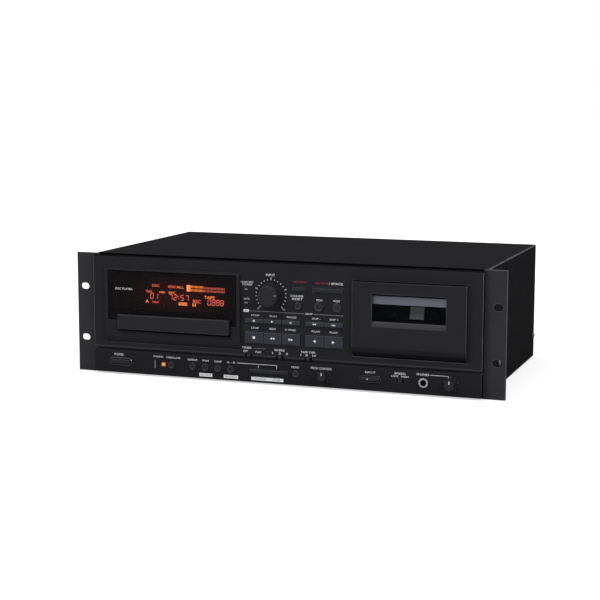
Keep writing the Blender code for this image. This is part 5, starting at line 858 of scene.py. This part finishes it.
# Pointers: node, start and end from the axis, width, height, turn in degrees and look
POINTERS = (("input_knob", 7.2, 9.8, 1.3, 0.42, 82, "grey_ink"),
            ("pitch_knob", 1.2, 4.2, 0.8, 0.12, 0, "ink"),
            ("phones_knob", 1.4, 4.8, 0.8, 0.12, 0, "ink"))
RIM_PROFILE = ((0.5, SEAT), (0.54, -0.08), (0.66, -0.26), (0.78, -0.26), (0.86, -0.08),
               (0.86, SEAT))
PILL_PROFILE = ((0.05, -0.1), (0.05, 0.8), (0.3, 1.25), (0.62, 1.25), (0.9, 0.8), (1, -0.1))
LENS_PROFILE = ((0, -0.3), (0, 0.15), (-0.15, 0.35), (-0.4, 0.45))


def lamps_and_frames():
    """Indicator lamps, pill frames of two buttons, a painted shadow strip under the tray and a
    white dot painted as the eject button's highlight.
    """
    knob = middle("input_knob")
    for word, level in (("upper", 5.2), ("lower", -9.3)):
        piece(f"indicator_lamp_{word}", "lamp_off", add_pill,
              knob + Vector((-28.2, 0, level)), 1.9, 0.72, FACE, LENS_PROFILE, 4)
    for node, margin in (("power_button", 1.7), ("eject_button", 1.5)):
        half = half_size(node)
        piece(f"{node}_frame", "gloss", add_pill, middle(node), half.x + 0.5, half.z - 0.5,
              STRIP, [(share * margin, rise) for share, rise in PILL_PROFILE], closed=True)
    # painted shadow: a thin black strip under the tray front
    near, far = box("tray_front")
    face = low("display_bezel").y
    piece("tray_painted_shadow", "black_and_shade", add_block, (near.x - 0.6, face - 0.25, near.z - 2.2),
          (far.x + 0.8, face + SEAT, near.z - 0.5), 0.1)
    # painted highlight: a small white dot on the eject button
    piece("eject_button_highlight_dot", "white", add_lathe,
          [(0, -0.35), (0.5, -0.28), (0.8, 0.1), (0, 0.1)],
          nose("eject_button") - Vector((2.6, 0, 0)), 16, body="eject_button")


def knobs_and_rims():
    """Dished cap of the input knob, rims of the round buttons and a pointer on every knob."""
    radius = half_size("input_knob").x
    piece("input_knob_cap", "knob", add_lathe,
          [(0, -0.06), (radius * 0.45, -0.12), (radius * 0.7, -0.32), (radius * 0.745, -0.3),
           (radius * 0.76, -0.05), (radius * 0.76, 0.3), (0, 0.3)], nose("input_knob"), 48,
          body="input_knob")
    for name in ROUND_BUTTONS:
        node = f"{name}_button"
        radius = half_size(node).x
        piece(f"{node}_rim", "rim", add_lathe,
              [(radius * share, rise) for share, rise in RIM_PROFILE], nose(node), body=node)
    for node, start, end, width, rise, turn, look in POINTERS:
        work = bmesh.new()
        add_block(work, (-width / 2, -rise, start), (width / 2, 0.2, end), 0.05)
        work.transform(Matrix.Translation(nose(node)) @ Matrix.Rotation(radians(turn), 4, "Y"))
        piece_from(f"{node}_pointer", work, look, node)


def headphone_socket():
    """Dark liner of the socket and the teeth of its nut."""
    jack = nose("headphone_jack")
    work = bmesh.new()
    add_lathe(work, [(3.12, 0.3), (3.12, 14), (2.7, 14), (2.7, 0.3)], jack)
    add_lathe(work, [(0, 13.4), (2.75, 13.4), (2.75, 14), (0, 14)], jack)
    piece_from("jack_liner", work, "black_and_shade")
    work = bmesh.new()
    teeth = 10
    span = 2 * pi / teeth
    for i in range(teeth):
        angles = [(i + share) * span for share in (0, 0.25, 0.5, 0.72)]
        outline = arc(jack.x, jack.z, 3.3, angles) + arc(jack.x, jack.z, 4.9, angles[::-1])
        add_slab(work, outline, jack.y - 0.35, jack.y + 0.2)
    piece_from("jack_nut_teeth", work, "knurl")


# Screws
HEAD_PROFILE = ((1, 0), (0.98, 0.45), (0.86, 0.8), (0.62, 0.96), (0.5, 1))


def add_screw(work, radius, height):
    """A pan head with a cross recess, in metres, facing -Y, its underside at y = 0."""
    rows = [[work.verts.new((x, -height * rise, z)) for x, z in circle(radius * share, 24)]
            for share, rise in HEAD_PROFILE]
    for near, far in zip(rows, rows[1:]):
        add_band(work, near, far)
    arm, slim = radius * 0.42, radius * 0.1
    cross = []
    for quarter in range(4):
        turn = radians(90 * quarter)
        for across, along in ((slim, slim), (slim, arm), (-slim, arm)):
            cross.append((across * cos(turn) - along * sin(turn),
                          across * sin(turn) + along * cos(turn)))
    rim = [work.verts.new((x, -height, z)) for x, z in cross]
    floor = [work.verts.new((x * 0.55, -height * 0.35, z * 0.55)) for x, z in cross]
    add_band(work, rim, floor)
    work.faces.new(floor)
    open_edges = [e for e in work.edges if len(e.link_faces) == 1 and all(
        abs(v.co.y + height) < height * 0.01 for v in e.verts)]
    bmesh.ops.bridge_loops(work, edges=open_edges)
    work.faces.new(rows[0])


def screws(name, places, radius, height):
    """Equal screws as one piece. A place is a point and where the head faces."""
    work = bmesh.new()
    for i, (point, facing) in enumerate(places):
        part = bmesh.new()
        add_screw(part, radius * MM, height * MM)
        aim = Vector((0, -1, 0)).rotation_difference(Vector(facing)).to_matrix().to_4x4()
        spin = Matrix.Rotation(0.7 * i + 0.3, 4, "Y")
        part.transform(Matrix.Translation(point) @ aim @ spin @ Matrix.Scale(1 / MM, 4))
        join(work, part)
    piece_from(name, work, "screw")


def all_screws():
    """Screws of the cover and the rear panel."""
    near, far = box("top_cover")
    height = low("front_fascia").z + STRIP_HEIGHT
    sides = [((x, y, height), (side, 0, 0)) for side, x in ((-1, near.x), (1, far.x))
             for y in (near.y + 57, far.y - 6)]
    screws("cover_side_screws", sides, 3.2, 1.7)
    rear = high("rear_panel").y
    reach = high("rear_panel").x - 14
    top, bottom = far.z - 9, near.z + 7
    back = [((x, rear, z), (0, 1, 0)) for x in (-reach, 0, reach) for z in (bottom, top)]
    jacks = middle("rear_jacks")
    back += [((jacks.x + side * 13, rear, jacks.z), (0, 1, 0)) for side in (-1, 1)]
    screws("rear_screws", back, 2.9, 1.6)


# Rear connectors
JACK_PITCH, JACK_ROW = 26, 18
REAR_LOOKS = {"phono_shells": "gold", "phono_red_rings": "red", "phono_white_rings": "white",
              "phono_contacts": "chrome", "rear_legends": "ink"}


def rear_parts():
    """Rings, shells and contacts of the phono sockets, and rear legends."""
    rear = high("rear_panel").y
    reach = high("rear_jacks").y - rear
    block = middle("rear_jacks")
    works = [bmesh.new() for _ in REAR_LOOKS]
    shells, reds, whites, pins, words = works
    for i, text in zip((1, 0, -1), ("CD OUT", "TAPE IN", "TAPE OUT")):
        x = block.x + i * JACK_PITCH
        add_words(words, text, x, block.z + 17.5, 13, 2.2, rear, True)
        for side, ring in ((-1, reds), (1, whites)):
            place = (x, rear, block.z + side * JACK_ROW / 2)
            add_lathe(shells, [(4.22, 2), (4.6, 2.2), (4.6, 3.2), (4.3, 3.4), (4.3, reach),
                               (3.4, reach + 0.2), (3.4, reach - 0.3), (4.1, reach - 0.3),
                               (4.1, 2)], place)
            add_lathe(ring, [(4.3, 0), (6.3, 0), (6.3, 1.2), (5.9, 1.6), (4.3, 1.6)], place)
            add_lathe(ring, [(1.85, reach - 0.2), (3.35, reach - 0.2), (3.35, reach + 0.1),
                             (1.85, reach + 0.1)], place)
            add_lathe(pins, [(1.72, reach - 6), (1.72, reach + 0.05), (1.2, reach + 0.05),
                             (1.2, reach - 6)], place, 24)
    for side, text in ((1, "L"), (-1, "R")):
        add_words(words, text, block.x + 37, block.z + side * JACK_ROW / 2, 1.8, 2.6, rear, True)
    add_words(words, "AC IN", middle("mains_inlet").x, high("mains_inlet").z + 4.2, 10, 2.6,
              rear, True)
    pieces_from(REAR_LOOKS, works)


# Drives
def disc_drive():
    """Rubber mat and cap of the turntable, tray pads and the pickup's lens."""
    table = middle("disc_turntable")
    near, far = box("disc_turntable")
    piece("turntable_mat", "rubber", add_lathe,
          [(9.4, 0.18), (14.4, 0.18), (14.6, -SEAT), (9.2, -SEAT)],
          (*table.xy, far.z - 4.1), axis="Z", body="turntable")
    piece("turntable_cap", "steel", add_lathe,
          [(0, 0.12), (2.6, 0.12), (3.2, -SEAT), (0, -SEAT)], (*table.xy, far.z), axis="Z",
          body="turntable")
    work = bmesh.new()
    well = high("cd_tray").z - 2.4
    for x, y in arc(table.x, table.y, 50, [radians(45 + 90 * i) for i in range(4)]):
        add_lathe(work, [(0, 0.35), (1.6, 0.3), (2, 0.05), (2, -SEAT), (0, -SEAT)],
                  (x, y, well), 20, "Z")
    piece_from("tray_pads", work, "rubber", "tray")
    piece("pickup_lens", "lens", add_lathe,
          [(0, 0.5), (1.4, 0.42), (2.4, 0.05), (2.4, -SEAT), (0, -SEAT)],
          (table.x, table.y + 31, near.z + 6.6), 24, "Z")


def head_parts():
    """Face of the tape head, tape guides and tyres of the pinch rollers."""
    near, far = box("head_bridge")
    x = middle("head_bridge").x
    half, arch = 5.2, 0.9
    outline = [(x + half * cos(pi * i / 12), far.z - 0.5 + arch * sin(pi * i / 12))
               for i in range(13)]
    outline += [(x - half, far.z - 4), (x + half, far.z - 4)]
    piece("tape_head_face", "chrome", add_slab, outline, near.y - SEAT, near.y + 5.2,
          body="heads")
    work = bmesh.new()
    for side in (-1, 1):
        guide = x + side * 7.4
        for front in (near.y + 0.3, near.y + 4.8):
            add_block(work, (guide - 0.5, front, far.z - 6),
                      (guide + 0.5, front + 0.8, far.z - 0.4), 0.15)
        add_block(work, (guide - 1, near.y + 0.3, far.z - 6.6),
                  (guide + 0.5, near.y + 5.6, far.z - 5.6), 0.15)
    piece_from("tape_guides", work, "white", "heads")
    work = bmesh.new()
    for name in ("capstan_left", "capstan_right"):
        capstan = middle(name)
        add_lathe(work, [(3.8, 0.6), (4.1, 0.5), (4.15, 1), (4.15, 5.8), (4.1, 6.3),
                         (3.8, 6.2)], (capstan.x, near.y + 3.4, capstan.z - 10.8))
    piece_from("pinch_tyres", work, "rubber", "heads")


# Side view of the leaf: height over its line and distance behind the transport plate
LEAF_POINTS = ((-2.6, -2.2), (-2.2, -3), (0, -2.6), (3, -1.4), (7, -0.4), (10.4, -0.05))


def leaf_spring():
    """Leaf spring on the transport plate, between the hubs."""
    x = middle("head_bridge").x + 3.2
    level = middle("reel_hub_left").z - 1
    plate = high("reel_hub_left").y - 3.95
    loops = [[(x + across, plate + out + thick, level + up) for across, thick in
              ((-7.5, 0), (7.5, 0), (7.5, 0.4), (-7.5, 0.4))] for up, out in LEAF_POINTS]
    piece("cassette_leaf_spring", "leaf", add_skin, loops)


# Stage
WORLD_LIGHT = 0.34              # strength of the surroundings as light on the deck
FLOOR_DROP = 0.3
FLOOR_REACH = 12                # metres
# Lights: name, place and size in metres, and power
LIGHTS = (("key", (-1.1, -1.9, 2.3), 1.3, 58), ("fill", (1.5, -1.2, 0.95), 1, 18),
          ("top", (0.2, 0.4, 2.6), 2.2, 30))
LIGHT_AIM = Vector((0, 0, 0.06))
# The photograph's view, worked out from the corners of the case
CAMERA_TURNS = (19.82, 8.285, 0.07)     # azimuth, elevation and roll in degrees
CAMERA_AIM = Vector((20.83, EARS, 91.78))
CAMERA_DISTANCE = 1549
SENSOR_WIDTH, FOCAL_LENGTH = 36, 88.4


def surroundings():
    """White surroundings to the eye and in reflections, dimmer as light."""
    world = bpy.data.worlds.new("surroundings")
    SCENE.world = world
    world.use_nodes = True
    tree = world.node_tree
    path = shader_node(tree, "LightPath").outputs
    seen = maths(tree, "MAXIMUM", path["Is Camera Ray"], path["Is Transmission Ray"])
    seen = maths(tree, "MAXIMUM", seen, path["Is Glossy Ray"])
    feed(tree.nodes["Background"], {"Color": (1, 1, 1, 1),
                                    "Strength": in_range(tree, seen, to_min=WORLD_LIGHT)})


def pale_floor():
    """A floor that keeps the deck's shadow and fades to white."""
    ground = bpy.data.materials.new("pale_floor")
    ground.use_nodes = True
    tree = ground.node_tree
    shader = tree.nodes["Principled BSDF"]
    feed(shader, {"Base Color": (0.62, 0.62, 0.62, 1), "Roughness": 0.9, "Specular IOR Level": 0.1})
    place = shader_node(tree, "TexCoord").outputs["Object"]
    fade = in_range(tree, vector_maths(tree, "LENGTH", "Value", place), from_min=0.5,
                    from_max=2, to_min=0.55)
    path = shader_node(tree, "LightPath").outputs
    glow = shader_node(tree, "Emission", {
        "Strength": maths(tree, "MULTIPLY", path["Is Camera Ray"], fade)})
    both = shader_node(tree, "AddShader", {0: shader.outputs["BSDF"],
                                           1: glow.outputs["Emission"]})
    feed(tree.nodes["Material Output"], {"Surface": both.outputs["Shader"]})
    mesh = bpy.data.meshes.new("floor")
    corners = box_outline(0, 0, FLOOR_REACH, FLOOR_REACH)
    mesh.from_pydata([(x, y, 0) for x, y in corners], [], [(0, 1, 2, 3)])
    mesh.materials.append(ground)
    floor = new_object("floor", mesh)
    floor.location.z = -FLOOR_DROP * MM


def lights():
    """Three soft area lights that face the deck."""
    for name, place, size, power in LIGHTS:
        lamp = bpy.data.lights.new(name, "AREA")
        lamp.size = size
        lamp.energy = power
        made = new_object(name, lamp)
        made.location = place
        aim = LIGHT_AIM - Vector(place)
        made.rotation_euler = aim.to_track_quat("-Z", "Y").to_euler()


def camera():
    """The photograph's view: its place round the deck, distance and focal length."""
    azimuth, elevation, roll = (radians(turn) for turn in CAMERA_TURNS)
    turn = (Matrix.Rotation(azimuth, 3, "Z") @ Matrix.Rotation(pi / 2 - elevation, 3, "X")
            @ Matrix.Rotation(roll, 3, "Z"))
    lens = bpy.data.cameras.new("camera")
    lens.sensor_width = SENSOR_WIDTH
    lens.lens = FOCAL_LENGTH
    made = new_object("camera", lens)
    made.location = (CAMERA_AIM + turn @ Vector((0, 0, CAMERA_DISTANCE))) * MM
    made.rotation_euler = turn.to_euler()
    SCENE.camera = made


for node_name, node_object in NODES.items():
    finish_node(node_name, node_object)
paint_inside()
paint_case()
printed()
key_symbols()
display()
lamps_and_frames()
knobs_and_rims()
headphone_socket()
all_screws()
rear_parts()
disc_drive()
head_parts()
leaf_spring()
surroundings()
pale_floor()
lights()
camera()
SCENE.view_settings.view_transform = "Standard"
